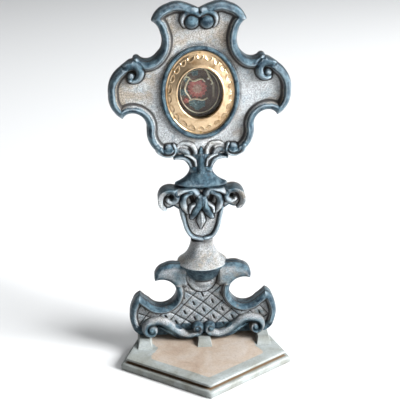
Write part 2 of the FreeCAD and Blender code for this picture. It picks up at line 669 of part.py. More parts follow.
def hingeLeaf(name, sign, turns, holes):
    edge = f"({hingeX} + {plateStart})" if sign > 0 else f"({hingeX} - sizes.leaf_reach)"
    parts = [box(name + "_plate", f"sizes.leaf_reach - {plateStart}", "sizes.leaf_thickness",
                 "sizes.hinge_length", edge, displayBack, hingeFoot)]
    for turn in turns:
        low = f"({hingeFoot} + {turn} * {knuckle} + sizes.lay)"
        tall = f"({knuckle} - 2 * sizes.lay)"
        parts.append(cylinder(f"{name}_knuckle_{turn}", "sizes.knuckle_radius", tall, hingeX, hingeY, low))
        start = hingeX if sign > 0 else f"({hingeX} - {plateStart})"
        parts.append(box(f"{name}_tab_{turn}", plateStart, "sizes.leaf_thickness", tall, start,
                         displayBack, low))
    return cut(name + "_leaf", fuse(name + "_solid", parts), [pinBore, *holes])


keep(hingeLeaf("board_side", -1, (0, 2), boardHoles), "hinge_leaf_board")
keep(hingeLeaf("door_side", 1, (1,), doorHoles), "hinge_leaf_door")
group("board_leaf_screws", [smallScrew(f"board_screw_{number}", x, z, leafBack, "6")
                            for number, (x, z) in enumerate(boardScrewSpots)])
group("door_leaf_screws", [smallScrew(f"door_screw_{number}", x, z, leafBack, "3")
                           for number, (x, z) in enumerate(doorScrewSpots)])

# ---------------------------------------------------------------- turn button that keeps the door shut
washer = cylinder("washer", "sizes.screw_head + 0.4", "0.3", buttonX, displayBack, windowMiddle, intoBoard)
keep(cut("button_washer", washer, [buttonHole]), "button_washer")
buttonY = f"({displayBack} + 0.3 + sizes.lay)"
buttonEnd = "(sizes.button_length / 2 - sizes.button_width / 2)"
button = fuse("button_solid", [
    box("button_bar", "sizes.button_width", "sizes.button_thickness", f"2 * {buttonEnd}",
        f"{buttonX} - sizes.button_width / 2", buttonY, f"{windowMiddle} - {buttonEnd}"),
    cylinder("button_top", "sizes.button_width / 2", "sizes.button_thickness", buttonX, buttonY,
             f"{windowMiddle} + {buttonEnd}", intoBoard),
    cylinder("button_foot", "sizes.button_width / 2", "sizes.button_thickness", buttonX, buttonY,
             f"{windowMiddle} - {buttonEnd}", intoBoard),
])
keep(cut("button", button, [buttonHole]), "turn_button")
keep(smallScrew("button_screw", buttonX, windowMiddle, buttonTop, "8"), "turn_button_screw")

# ---------------------------------------------------------------- check and write
doc.recompute()
faults = [item.Name for item in doc.Objects if "Invalid" in item.State or "Error" in item.State]
if faults:
    raise RuntimeError(f"these objects failed to build: {faults}")
os.makedirs("parts", exist_ok=True)
for name, item in nodes.items():
    shape = item.Shape
    if shape.isNull() or not shape.isValid() or not shape.Solids:
        raise RuntimeError(f"{name} has no valid solid")
    shape.exportStep(f"parts/{name}.step")
    print(f"{name}: {len(shape.Solids)} solid(s), {shape.Volume:.0f} mm3")
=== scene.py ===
from math import cos, pi, radians, sin

import bpy
import numpy as np
from mathutils import Matrix, Vector


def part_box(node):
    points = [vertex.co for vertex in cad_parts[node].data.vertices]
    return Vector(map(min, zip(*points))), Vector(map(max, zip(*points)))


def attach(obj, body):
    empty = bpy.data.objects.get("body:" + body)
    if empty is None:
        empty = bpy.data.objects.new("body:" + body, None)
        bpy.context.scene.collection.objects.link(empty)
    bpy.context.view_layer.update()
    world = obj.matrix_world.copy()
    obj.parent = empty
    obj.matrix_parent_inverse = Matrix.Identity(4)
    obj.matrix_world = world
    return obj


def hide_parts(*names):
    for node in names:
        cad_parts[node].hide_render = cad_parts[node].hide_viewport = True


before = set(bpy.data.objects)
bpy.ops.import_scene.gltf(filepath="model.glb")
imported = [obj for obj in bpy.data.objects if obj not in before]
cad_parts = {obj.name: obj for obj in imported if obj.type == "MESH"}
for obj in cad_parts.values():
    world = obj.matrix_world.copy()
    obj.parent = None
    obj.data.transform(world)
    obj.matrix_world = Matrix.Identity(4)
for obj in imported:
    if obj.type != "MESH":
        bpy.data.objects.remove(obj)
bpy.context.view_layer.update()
mm = 0.001
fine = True


def nodeBox(node):
    low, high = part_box(node)
    return np.array(low) / mm, np.array(high) / mm


# Places that every carving shares, in millimetres, from the boxes of the solids.
footLow, footHigh = nodeBox("foot_panel")
bellLow, bellHigh = nodeBox("bell_knop")
stemLow, stemHigh = nodeBox("stem_node")
collarLow, collarHigh = nodeBox("neck_collar")
displayHigh = nodeBox("display_panel")[1]
matLow, matHigh = nodeBox("brass_mat")
axisY = (bellLow[1] + bellHigh[1]) / 2
displayFoot = collarHigh[2]
windowZ = (matLow[2] + matHigh[2]) / 2
fieldY = matHigh[1]


def outlinePath(start, runs, step=0.7, mirrored=True):
    # Lines and three-point arcs, sampled about every step; the left half mirrors the right one.
    here = np.array(start, float)
    pieces = []
    for run in runs:
        there = np.array(run[-2:], float)
        if len(run) == 2:
            count = max(2, int(np.linalg.norm(there - here) / step))
            t = np.linspace(0, 1, count, endpoint=False)[:, None]
            pieces.append(here + (there - here) * t)
        else:
            middle = np.array(run[:2], float)
            a, b, c = here, middle, there
            d = 2 * (a[0] * (b[1] - c[1]) + b[0] * (c[1] - a[1]) + c[0] * (a[1] - b[1]))
            centre = np.array([
                (a @ a * (b[1] - c[1]) + b @ b * (c[1] - a[1]) + c @ c * (a[1] - b[1])) / d,
                (a @ a * (c[0] - b[0]) + b @ b * (a[0] - c[0]) + c @ c * (b[0] - a[0])) / d,
            ])
            angles = [np.arctan2(*(p - centre)[::-1]) for p in (a, b, c)]
            turn = (angles[2] - angles[0]) % (2 * pi)
            if (angles[1] - angles[0]) % (2 * pi) > turn:
                turn -= 2 * pi
            radius = np.linalg.norm(a - centre)
            count = max(4, int(abs(turn) * radius / step))
            t = angles[0] + turn * np.linspace(0, 1, count, endpoint=False)
            pieces.append(centre + radius * np.stack([np.cos(t), np.sin(t)], 1))
        here = there
    half = np.concatenate(pieces + [here[None]])
    if not mirrored:
        return half[:-1]
    left = half[::-1] * [-1, 1]
    return np.concatenate([half[:-1], left[:-1]])


def ovalPath(halfWidth, halfHeight, centre, count=220):
    t = np.linspace(0, 2 * pi, count, endpoint=False)
    return np.stack([centre[0] + halfWidth * np.cos(t), centre[1] + halfHeight * np.sin(t)], 1)


def smoothPath(points, perSpan=14):
    # A Catmull-Rom curve through the points.
    p = np.array(points, float)
    p = np.concatenate([[2 * p[0] - p[1]], p, [2 * p[-1] - p[-2]]])
    t = np.linspace(0, 1, perSpan, endpoint=False)[:, None]
    spans = []
    for a, b, c, d in zip(p[:-3], p[1:-2], p[2:-1], p[3:]):
        spans.append(0.5 * (2 * b + (c - a) * t + (2 * a - 5 * b + 4 * c - d) * t ** 2
                            + (3 * b - a - 3 * c + d) * t ** 3))
    return np.concatenate(spans + [p[-2][None]])


def spiralPath(centre, startAngle, endAngle, startRadius, endRadius, count=90):
    # The radius shrinks by the same share for each degree turned.
    t = np.linspace(0, 1, count)
    angle = np.radians(startAngle + (endAngle - startAngle) * t)
    radius = startRadius * (endRadius / startRadius) ** t
    return np.stack([centre[0] + radius * np.cos(angle), centre[1] + radius * np.sin(angle)], 1)


def nearest(path, x, z, closed):
    # Distance of each (x, z) to the line, where along it that is (0 to 1), and the nearest point.
    ends = np.roll(path, -1, 0) if closed else path[1:]
    starts = path if closed else path[:-1]
    lengths = np.linalg.norm(ends - starts, axis=1)
    travelled = np.concatenate([[0], np.cumsum(lengths)])
    best = np.full(x.shape, 1e9)
    along = np.zeros(x.shape)
    nearX = np.zeros(x.shape)
    nearZ = np.zeros(x.shape)
    for index, (a, b) in enumerate(zip(starts, ends)):
        v = b - a
        share = np.clip(((x - a[0]) * v[0] + (z - a[1]) * v[1]) / max(v @ v, 1e-12), 0, 1)
        px = a[0] + share * v[0]
        pz = a[1] + share * v[1]
        d = (x - px) ** 2 + (z - pz) ** 2
        closer = d < best
        best[closer] = d[closer]
        nearX[closer] = px[closer]
        nearZ[closer] = pz[closer]
        along[closer] = (travelled[index] + share[closer] * lengths[index]) / travelled[-1]
    return np.sqrt(best), along, nearX, nearZ


def isInside(path, x, z):
    # Even-odd rule.
    inside = np.zeros(x.shape, bool)
    for a, b in zip(path, np.roll(path, -1, 0)):
        if a[1] == b[1]:
            continue
        crosses = (a[1] > z) != (b[1] > z)
        inside ^= crosses & (x < (b[0] - a[0]) * (z - a[1]) / (b[1] - a[1]) + a[0])
    return inside


def tremor(x, z, wave, seed):
    # A slow, seeded unevenness between -1 and 1, as a knife leaves it.
    rng = np.random.default_rng(seed)
    total = np.zeros(np.shape(x))
    for octave in range(4):
        angle = rng.uniform(0, 2 * pi)
        shift = rng.uniform(0, 2 * pi)
        stretch = wave * rng.uniform(0.6, 1.5)
        total = total + np.sin((x * cos(angle) + z * sin(angle)) / stretch * 2 * pi + shift)
    return total / 4


def ease(t):
    t = np.clip(t, 0, 1)
    return t * t * (3 - 2 * t)


def rounded(distance, radius):
    # A quarter circle: 0 at the edge, 1 from the radius inwards.
    return np.sqrt(1 - (1 - np.clip(distance / radius, 0, 1)) ** 2)


def meshObject(name, verts, quads, tris, traits, material):
    # Points in millimetres. A trait is one number for each point, which the material reads by name.
    verts = np.asarray(verts, float) * mm
    quads = np.asarray(quads, int).reshape(-1, 4)
    tris = np.asarray(tris, int).reshape(-1, 3)
    mesh = bpy.data.meshes.new(name)
    mesh.vertices.add(len(verts))
    mesh.vertices.foreach_set("co", verts.ravel())
    loops = np.concatenate([quads.ravel(), tris.ravel()])
    mesh.loops.add(len(loops))
    mesh.loops.foreach_set("vertex_index", loops)
    mesh.polygons.add(len(quads) + len(tris))
    starts = np.concatenate([np.arange(len(quads)) * 4, len(quads) * 4 + np.arange(len(tris)) * 3])
    mesh.polygons.foreach_set("loop_start", starts)
    mesh.polygons.foreach_set("use_smooth", np.full(len(starts), True))
    mesh.update(calc_edges=True)
    mesh.validate()
    for trait, values in traits.items():
        layer = mesh.attributes.new(trait, "FLOAT", "POINT")
        layer.data.foreach_set("value", np.asarray(values, float).ravel())
    mesh.materials.append(material)
    item = bpy.data.objects.new(name, mesh)
    bpy.context.scene.collection.objects.link(item)
    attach(item, "root")
    return item


def blur(values, reach):
    # A running mean over a square of the grid, first along one way, then the other.
    for axis in (0, 1):
        pad = [(0, 0), (0, 0)]
        pad[axis] = (reach + 1, reach)
        total = np.cumsum(np.pad(values, pad, mode="edge"), axis=axis)
        width = 2 * reach + 1
        if axis == 0:
            values = (total[width:] - total[:-width]) / width
        else:
            values = (total[:, width:] - total[:, :-width]) / width
    return values


def carvedBoard(name, outline, holes, step, shape, backShape, material):
    # A board whose front and back are heights over an x-z grid. Grid points next to the outline
    # or to a hole are moved onto it, and a wall of four rows joins front and back there.
    low = outline.min(0) - 2 * step
    high = outline.max(0) + 2 * step
    x, z = np.meshgrid(np.arange(np.floor(low[0] / step), high[0] / step + 1) * step,
                       np.arange(np.floor(low[1] / step), high[1] / step + 1) * step, indexing="ij")
    distance, _, nearX, nearZ = nearest(outline, x, z, True)
    signed = np.where(isInside(outline, x, z), distance, -distance)
    for hole in holes:
        holeDistance, _, holeX, holeZ = nearest(hole, x, z, True)
        holeSigned = np.where(isInside(hole, x, z), -holeDistance, holeDistance)
        closer = holeSigned < signed
        signed = np.where(closer, holeSigned, signed)
        nearX = np.where(closer, holeX, nearX)
        nearZ = np.where(closer, holeZ, nearZ)
    snap = np.abs(signed) <= step * 0.5
    x = np.where(snap, nearX, x)
    z = np.where(snap, nearZ, z)
    signed = np.where(snap, 0, signed)
    front, blue, raised = shape(x, z, np.maximum(distance * (signed > 0), 0))
    back = backShape(x, z, np.maximum(signed, 0))
    # How far a point lies below what is around it, from near by and from farther off.
    hollow = sum((blur(raised, max(1, round(reach / step))) - raised) * share
                 for reach, share in ((1.2, 0.9), (3, 0.35)))
    hollow = np.clip(hollow, -1, 1)
    # The material darkens high values with grime and painted shade, and lightens low ones with wear and a
    # painted highlight.
    usable = signed >= 0
    number = np.arange(x.size).reshape(x.shape)
    corners = [number[:-1, :-1], number[1:, :-1], number[1:, 1:], number[:-1, 1:]]
    good = [usable[:-1, :-1], usable[1:, :-1], usable[1:, 1:], usable[:-1, 1:]]
    score = sum(g.astype(int) for g in good)
    quads = np.stack([c[score == 4] for c in corners], 1)
    tris = []
    for missing in range(4):
        pick = (score == 3) & ~good[missing]
        keepers = [k for k in range(4) if k != missing]
        tris.append(np.stack([corners[k][pick] for k in keepers], 1))
    tris = np.concatenate(tris)
    used, renumber = np.unique(np.concatenate([quads.ravel(), tris.ravel()]), return_inverse=True)
    quads = renumber[:quads.size].reshape(-1, 4)
    tris = renumber[quads.size:].reshape(-1, 3)
    count = len(used)
    px, pz = x.ravel()[used], z.ravel()[used]
    py, qy = front.ravel()[used], back.ravel()[used]
    edges = np.concatenate([quads[:, [k, (k + 1) % 4]] for k in range(4)]
                           + [tris[:, [k, (k + 1) % 3]] for k in range(3)])
    key = edges.min(1) * count + edges.max(1)
    _, first, times = np.unique(key, return_index=True, return_counts=True)
    rim = edges[first[times == 1]]
    rimPoints, rimPlace = np.unique(rim, return_inverse=True)
    rimPlace = rimPlace.reshape(rim.shape)
    edgeY, rearY = py[rimPoints], qy[rimPoints]
    rows = [edgeY + np.minimum(0.5, (rearY - edgeY) * 0.2),
            rearY - np.minimum(0.6, (rearY - edgeY) * 0.25)]
    verts = [np.stack([px, py, pz], 1), np.stack([px, qy, pz], 1)]
    for row in rows:
        verts.append(np.stack([px[rimPoints], row, pz[rimPoints]], 1))
    ladder = [rim, rimPlace + 2 * count, rimPlace + 2 * count + len(rimPoints), rim + count]
    walls = [np.stack([top[:, 1], top[:, 0], foot[:, 0], foot[:, 1]], 1)
             for top, foot in zip(ladder[:-1], ladder[1:])]
    frontBlue = blue.ravel()[used]
    frontHollow = hollow.ravel()[used]
    wallBlue = np.tile(np.maximum(frontBlue[rimPoints], 0.75), 2)
    traits = {
        "blue": np.concatenate([frontBlue, np.full(count, 0.3), wallBlue]),
        "hollow": np.concatenate([frontHollow, np.zeros(count), np.zeros(len(wallBlue))]),
        "plain": np.concatenate([np.zeros(count), np.ones(count), np.zeros(len(rimPoints)),
                                 np.full(len(rimPoints), 0.35)]),
    }
    allQuads = np.concatenate([quads, quads[:, ::-1] + count] + walls)
    allTris = np.concatenate([tris, tris[:, ::-1] + count])
    return meshObject(name, np.concatenate(verts), allQuads, allTris, traits, material)


def newRelief(x, z, height, blue):
    return {"x": x, "z": z, "height": height, "blue": blue}


def ridge(relief, path, halfWidth, height, blue, groove):
    # Raises a rounded band along the path, with a groove at its foot. Half width, height and blue
    # may change from its start to its end.
    widths = np.atleast_1d(halfWidth)
    heights = np.atleast_1d(height)
    reach = widths.max() + 2
    x, z = relief["x"], relief["z"]
    low, high = path.min(0) - reach, path.max(0) + reach
    near = (x > low[0]) & (x < high[0]) & (z > low[1]) & (z < high[1])
    distance, along, _, _ = nearest(path, x[near], z[near], False)
    width = np.interp(along, np.linspace(0, 1, len(widths)), widths)
    tall = np.interp(along, np.linspace(0, 1, len(heights)), heights)
    t = np.clip(distance / width, 0, 1)
    lift = tall * (1 - t ** 2) ** 0.5
    ground = relief["height"][near] - groove * np.exp(-((distance - width) / 0.7) ** 2)
    merged = np.where(t < 1, np.maximum(ground, lift), ground)
    shades = np.atleast_1d(blue)
    shade = np.interp(along, np.linspace(0, 1, len(shades)), shades)
    relief["blue"][near] = np.where((t < 1) & (lift > ground), shade, relief["blue"][near])
    relief["height"][near] = merged


def dome(relief, centre, radius, height, blue, groove):
    x, z = relief["x"], relief["z"]
    distance = np.hypot(x - centre[0], z - centre[1])
    lift = height * np.sqrt(np.clip(1 - (distance / radius) ** 2, 0, 1))
    ground = relief["height"] - groove * np.exp(-((distance - radius) / 0.8) ** 2)
    relief["blue"] = np.where((distance < radius) & (lift > ground), blue, relief["blue"])
    relief["height"] = np.where(distance < radius, np.maximum(ground, lift), ground)


def pit(relief, centre, radius, depth, stretch=1.0, tilt=0.0, blue=None):
    dx = relief["x"] - centre[0]
    dz = relief["z"] - centre[1]
    u = dx * cos(radians(tilt)) + dz * sin(radians(tilt))
    v = (-dx * sin(radians(tilt)) + dz * cos(radians(tilt))) / stretch
    t = np.hypot(u, v) / radius
    relief["height"] -= depth * np.exp(-t ** 4)
    if blue is not None:
        relief["blue"] = np.where(t < 0.9, blue, relief["blue"])


def borderRise(board, inward):
    # From the dropped edge up to the crest: steep at first, round at the top.
    share = np.clip(inward / board["outerBevel"], 0, 1)
    return -board["edgeDrop"] + (board["crest"] + board["edgeDrop"]) * (1 - (1 - share) ** 2) ** 0.62


def closedRings(rings, first, last):
    # Faces over rows of rings, closed by one point at each end.
    rows, count = rings.shape[:2]
    verts = np.concatenate([rings.reshape(-1, 3), [first, last]])
    ring = np.arange(rows * count).reshape(rows, count)
    following = np.roll(ring, -1, 1)
    quads = np.stack([ring[:-1], following[:-1], following[1:], ring[1:]], 2).reshape(-1, 4)
    tris = np.concatenate([
        np.stack([following[0], ring[0], np.full(count, rows * count)], 1),
        np.stack([ring[-1], following[-1], np.full(count, rows * count + 1)], 1),
    ])
    return verts, quads, tris


def perRing(values, count):
    # One value for each ring, the first and the last being those of the end points.
    values = np.asarray(values, float)
    return np.concatenate([np.repeat(values[1:-1], count), values[[0, -1]]])


def lathe(name, profile, centre, material, traits, count=120):
    # A profile of (radius, height) points carried round the upright axis; its ends lie on the axis.
    profile = np.asarray(profile, float)
    t = np.linspace(0, 2 * pi, count, endpoint=False)
    wave = 1 + 0.004 * np.sin(3 * t + 0.5) + 0.003 * np.sin(7 * t + 1.3)
    x = centre[0] + profile[1:-1, :1] * np.cos(t) * wave
    y = centre[1] + profile[1:-1, :1] * np.sin(t) * wave
    z = centre[2] + profile[1:-1, 1:] + 0 * x
    poles = [(centre[0], centre[1], centre[2] + profile[k, 1]) for k in (0, -1)]
    mesh = closedRings(np.stack([x, y, z], 2), *poles)
    spread = {trait: perRing(values, count) for trait, values in traits.items()}
    return meshObject(name, *mesh, spread, material)


def ovalSweep(name, halfWidth, halfHeight, section, material, traits, count=260):
    # A closed section of (outwards, towards the back) points carried round the window.
    section = np.asarray(section, float)
    t = np.linspace(0, 2 * pi, count, endpoint=False)[:, None]
    x = (halfWidth + section[:, 0]) * np.cos(t)
    z = windowZ + (halfHeight + section[:, 0]) * np.sin(t)
    verts = np.stack([x, section[:, 1] + 0 * x, z], 2).reshape(-1, 3)
    ring = np.arange(x.size).reshape(x.shape)
    following = np.roll(ring, -1, 0)
    quads = np.stack([ring, following, np.roll(following, -1, 1), np.roll(ring, -1, 1)], 2).reshape(-1, 4)
    spread = {trait: np.tile(values, count) for trait, values in traits.items()}
    return meshObject(name, verts, quads, [], spread, material)


def sweptBand(name, path, baseY, halfWidth, height, material, blue, around, sink=1.5):
    # A rounded band laid along a path on the plane y = baseY and sunk into it, closed by a point at
    # each end. blue is the trait at its two edges.
    path = np.asarray(path, float)
    travelled = np.concatenate([[0], np.cumsum(np.linalg.norm(np.diff(path, axis=0), axis=1))])
    along = travelled / travelled[-1]
    widths = np.interp(along, np.linspace(0, 1, len(halfWidth)), halfWidth)[:, None]
    heights = np.interp(along, np.linspace(0, 1, len(height)), height)[:, None]
    way = np.gradient(path, axis=0)
    way /= np.linalg.norm(way, axis=1)[:, None]
    t = np.linspace(0, 2 * pi, around, endpoint=False)
    px = path[:, :1] - way[:, 1:] * widths * np.cos(t)
    pz = path[:, 1:] + way[:, :1] * widths * np.cos(t)
    py = baseY - heights * np.maximum(np.sin(t), 0) - sink * np.minimum(np.sin(t), 0)
    ends = [(path[k, 0], baseY, path[k, 1]) for k in (0, -1)]
    mesh = closedRings(np.stack([px, py, pz], 2), *ends)
    count = len(path)
    traits = {
        "blue": np.concatenate([np.tile(np.interp(np.cos(t), [-1, 1], blue), count), [1, 1]]),
        # Painted shade where the band's sides meet the board, rubbed leaf and a painted highlight along its
        # top.
        "hollow": np.concatenate([np.tile(0.5 - 0.9 * np.abs(np.sin(t)), count), [0.4, 0.4]]),
        "plain": np.zeros(count * around + 2),
    }
    return meshObject(name, *mesh, traits, material)


class Finish:
    # A material, and the nodes that feed its shader.
    def __init__(self, name):
        self.material = bpy.data.materials.new(name)
        self.material.use_nodes = True
        self.tree = self.material.node_tree
        self.shader = self.tree.nodes["Principled BSDF"]

    def feed(self, socket, source):
        # A plain value is set on the socket itself, and a node's output is linked to it.
        if isinstance(source, (int, float, tuple)):
            socket.default_value = source
        else:
            self.tree.links.new(source, socket)

    def set(self, socket, source):
        self.feed(self.shader.inputs[socket], source)

    def add(self, kind, inputs, **settings):
        node = self.tree.nodes.new(kind)
        for key, value in settings.items():
            setattr(node, key, value)
        for socket, source in inputs.items():
            self.feed(node.inputs[socket], source)
        return node

    def place(self):
        return self.add("ShaderNodeTexCoord", {}).outputs["Object"]

    def stretched(self, place, scale):
        # The same place on another scale along each axis, which draws noise out into fibres.
        return self.add("ShaderNodeMapping", {"Vector": place, "Scale": scale}).outputs["Vector"]

    def trait(self, name):
        return self.add("ShaderNodeAttribute", {}, attribute_name=name).outputs["Fac"]

    def ramp(self, source, *stops):
        # Each stop is a position and a colour, or a position and a grey.
        node = self.add("ShaderNodeValToRGB", {"Fac": source})
        band = node.color_ramp
        stops = [(at, tone if isinstance(tone, tuple) else (tone, tone, tone, 1)) for at, tone in stops]
        band.elements[0].position, band.elements[0].color = stops[0]
        band.elements[1].position, band.elements[1].color = stops[-1]
        for at, colour in stops[1:-1]:
            band.elements.new(at).color = colour
        return node.outputs["Color"]

    def mix(self, factor, first, second, kind="MIX"):
        inputs = {"Factor": factor, 6: first, 7: second}
        return self.add("ShaderNodeMix", inputs, data_type="RGBA", blend_type=kind).outputs[2]

    def maths(self, kind, *sources):
        return self.add("ShaderNodeMath", dict(enumerate(sources)), operation=kind).outputs[0]

    def noise(self, place, scale, detail, roughness, distortion=0.0):
        inputs = {"Vector": place, "Scale": scale, "Detail": detail, "Roughness": roughness}
        inputs["Distortion"] = distortion
        return self.add("ShaderNodeTexNoise", inputs).outputs["Fac"]

    def bump(self, height, strength, distance):
        node = self.add("ShaderNodeBump", {"Height": height, "Strength": strength, "Distance": distance})
        self.set("Normal", node.outputs["Normal"])


silverLook = {
    "leaf": (0.45, 0.47, 0.48, 1),
    "leafWarm": (0.33, 0.29, 0.24, 1),
    "leafCool": (0.33, 0.38, 0.41, 1),
    "grainDark": (0.20, 0.16, 0.13, 1),
    "glaze": (0.012, 0.030, 0.048, 1),
    "glazeLight": (0.075, 0.145, 0.185, 1),
    "scumble": (0.22, 0.32, 0.37, 1),
    "grimeAndShade": (0.016, 0.013, 0.012, 1),
    "bole": (0.16, 0.09, 0.055, 1),
    "worn": (0.50, 0.58, 0.63, 1),
    "woodDark": (0.085, 0.05, 0.028, 1),
    "wood": (0.20, 0.125, 0.07, 1),
    "woodLight": (0.30, 0.20, 0.12, 1),
    "broadScale": 38,
    "patchScale": 120,
    "cloudScale": 135,
    "spotScale": 210,
    "grainScale": 1250,
    "speckScale": 2400,
    "fibreScale": (260, 260, 22),
    "metallic": 0.72,
}


def carvedSilver(name):
    # Silver leaf over bole, glazed blue on the raised borders; the crests are rubbed bright with a painted
    # highlight, and the hollows get grime and painted shade. Where the trait called plain is 1, bare wood
    # shows.
    m = Finish(name)
    look = silverLook
    place = m.place()
    blueTrait, hollowTrait, plainTrait = (m.trait(trait) for trait in ("blue", "hollow", "plain"))
    broad = m.noise(place, look["broadScale"], 4, 0.55, 0.4)
    patch = m.noise(place, look["patchScale"], 6, 0.65, 0.3)
    grain = m.noise(place, look["grainScale"], 5, 0.75)
    speck = m.noise(place, look["speckScale"], 3, 0.6)
    uneven = m.maths("MULTIPLY_ADD", patch, 0.5, -0.25)
    leaf = m.mix(m.ramp(broad, (0.47, 0), (0.66, 1)), look["leaf"], look["leafWarm"])
    leaf = m.mix(m.ramp(patch, (0.5, 0), (0.68, 1)), leaf, look["leafCool"])
    grainShade = m.ramp(grain, (0.37, look["grainDark"]), (0.50, 0.82), (0.62, 1.6))
    leaf = m.mix(0.82, leaf, grainShade, "MULTIPLY")
    glaze = m.mix(m.ramp(patch, (0.44, 0), (0.72, 1)), look["glaze"], look["glazeLight"])
    cloud = m.noise(place, look["cloudScale"], 8, 0.75, 0.5)
    glaze = m.mix(m.ramp(cloud, (0.44, 0), (0.74, 0.8)), glaze, look["scumble"])
    colour = m.mix(m.ramp(m.maths("ADD", blueTrait, uneven), (0.30, 0), (0.72, 1)), leaf, glaze)
    # Crests, where hollow is below zero: rubbed leaf plus a painted highlight.
    crest = m.maths("ADD", m.maths("MULTIPLY", hollowTrait, -1.0), m.maths("MULTIPLY_ADD", grain, 0.5, -0.25))
    colour = m.mix(m.ramp(crest, (0.50, 0), (1.0, 0.45)), colour, look["worn"])
    # Hollows: grime plus painted shade, near black, which also takes away the metal's shine.
    grimeAndShade = m.ramp(m.maths("ADD", hollowTrait, uneven), (0.06, 0), (0.50, 0.94))
    colour = m.mix(grimeAndShade, colour, look["grimeAndShade"])
    spots = m.noise(place, look["spotScale"], 6, 0.7, 0.6)
    colour = m.mix(m.ramp(spots, (0.60, 0), (0.74, 0.6)), colour, look["bole"])
    fibre = m.noise(m.stretched(place, look["fibreScale"]), 1.0, 7, 0.65, 0.5)
    wood = m.ramp(fibre, (0.3, look["woodDark"]), (0.55, look["wood"]), (0.75, look["woodLight"]))
    m.set("Base Color", m.mix(plainTrait, colour, wood))
    leafFreeOfGrimeAndShade = m.maths("MULTIPLY", m.maths("SUBTRACT", 1.0, grimeAndShade), m.maths("SUBTRACT", 1.0, plainTrait))
    m.set("Metallic", m.maths("MULTIPLY", leafFreeOfGrimeAndShade, look["metallic"]))
    rough = m.maths("MULTIPLY_ADD", grain, 0.3, 0.22)
    m.set("Roughness", m.maths("MULTIPLY_ADD", plainTrait, 0.25, rough))
    height = m.maths("ADD", m.maths("MULTIPLY", grain, 0.8), m.maths("MULTIPLY_ADD", patch, 0.5, speck))
    m.bump(height, 0.9, 0.0008)
    return m.material


def brassFinish(name, base, dark, roughness, scale):
    m = Finish(name)
    place = m.place()
    stain = m.noise(place, scale, 6, 0.65, 0.5)
    scratch = m.noise(place, scale * 9, 4, 0.6)
    light = tuple(min(1, part * 1.25) for part in base[:3]) + (1,)
    m.set("Base Color", m.ramp(stain, (0.32, dark), (0.5, base), (0.72, light)))
    m.set("Metallic", 1.0)
    m.set("Roughness", m.maths("MULTIPLY_ADD", scratch, 0.3, roughness - 0.12))
    m.bump(scratch, 0.25, 0.0003)
    return m.material


plinthLook = {
    "paint": [(0.3, (0.18, 0.18, 0.155, 1)), (0.5, (0.25, 0.265, 0.25, 1)), (0.7, (0.33, 0.36, 0.36, 1))],
    "worn": [(0.3, (0.31, 0.23, 0.175, 1)), (0.5, (0.37, 0.30, 0.24, 1)), (0.68, (0.40, 0.345, 0.30, 1))],
    "grimeAndShade": (0.16, 0.095, 0.045, 1),
    "broadScale": 45,
    "grainScale": 620,
}


def plinthFinish(name):
    # Silver-grey paint, rubbed down to a pinkish brown where the trait called rubbed says so, and darkened
    # with grime and painted shade where the trait called hollow says so.
    m = Finish(name)
    place = m.place()
    broad = m.noise(place, plinthLook["broadScale"], 5, 0.6, 0.5)
    grain = m.noise(place, plinthLook["grainScale"], 6, 0.7)
    edge = m.maths("ADD", m.trait("rubbed"), m.maths("MULTIPLY_ADD", broad, 0.8, -0.4))
    colour = m.mix(m.ramp(edge, (0.42, 0), (0.58, 1)), m.ramp(broad, *plinthLook["paint"]),
                   m.ramp(broad, *plinthLook["worn"]))
    colour = m.mix(0.5, colour, m.ramp(grain, (0.3, 0.55), (0.55, 1), (0.75, 1.15)), "MULTIPLY")
    # Grime plus painted shade, strongest under the upper step's overhang.
    plinthGrimeAndShade = m.maths("ADD", m.trait("hollow"), m.maths("MULTIPLY_ADD", broad, 0.5, -0.25))
    m.set("Base Color", m.mix(m.ramp(plinthGrimeAndShade, (0.25, 0), (0.75, 0.9)), colour, plinthLook["grimeAndShade"]))
    m.set("Metallic", 0.06)
    m.set("Specular IOR Level", 0.3)
    m.set("Roughness", m.maths("MULTIPLY_ADD", grain, 0.3, 0.42))
    m.bump(m.maths("ADD", grain, broad), 0.25, 0.0006)
    return m.material


def fibreFinish(name, colour, light):
    # Woven threads: two crossed fine waves, with a slow change of tone.
    m = Finish(name)
    place = m.place()
    slow = m.noise(place, 240, 5, 0.6)
    wave = {"Vector": place, "Scale": 1500, "Distortion": 2.0}
    weave = [m.add("ShaderNodeTexWave", wave, bands_direction=way) for way in ("X", "Z")]
    threads = m.maths("MULTIPLY", weave[0].outputs["Fac"], weave[1].outputs["Fac"])
    m.set("Base Color", m.ramp(m.maths("MULTIPLY_ADD", threads, 0.5, slow), (0.35, colour), (0.95, light)))
    m.set("Roughness", 0.75)
    m.set("Sheen Weight", 0.4)
    m.bump(threads, 0.5, 0.0002)
    return m.material


def waxFinish(name, colour, dark, roughness=0.35):
    m = Finish(name)
    slow = m.noise(m.place(), 420, 5, 0.65, 0.4)
    m.set("Base Color", m.ramp(slow, (0.35, dark), (0.62, colour)))
    m.set("Roughness", roughness)
    m.set("Subsurface Weight", 0.05)
    m.bump(slow, 0.5, 0.0006)
    return m.material


def woodFinish(name):
    m = Finish(name)
    place = m.place()
    fibre = m.noise(m.stretched(place, (300, 300, 20)), 1.0, 8, 0.65, 0.8)
    stain = m.noise(place, 60, 4, 0.6)
    colour = m.ramp(fibre, (0.3, (0.10, 0.055, 0.03, 1)), (0.52, (0.24, 0.15, 0.085, 1)),
                    (0.75, (0.34, 0.23, 0.14, 1)))
    m.set("Base Color", m.mix(0.7, colour, m.ramp(stain, (0.35, 0.6), (0.6, 1)), "MULTIPLY"))
    m.set("Roughness", m.maths("MULTIPLY_ADD", fibre, 0.25, 0.45))
    m.bump(fibre, 0.35, 0.0004)
    return m.material


def glassFinish(name):
    m = Finish(name)
    m.set("Base Color", (0.97, 0.99, 0.985, 1))
    m.set("Transmission Weight", 1.0)
    m.set("IOR", 1.25)
    m.set("Roughness", m.ramp(m.noise(m.place(), 110, 5, 0.6, 0.6), (0.4, 0.02), (0.75, 0.16)))
    return m.material


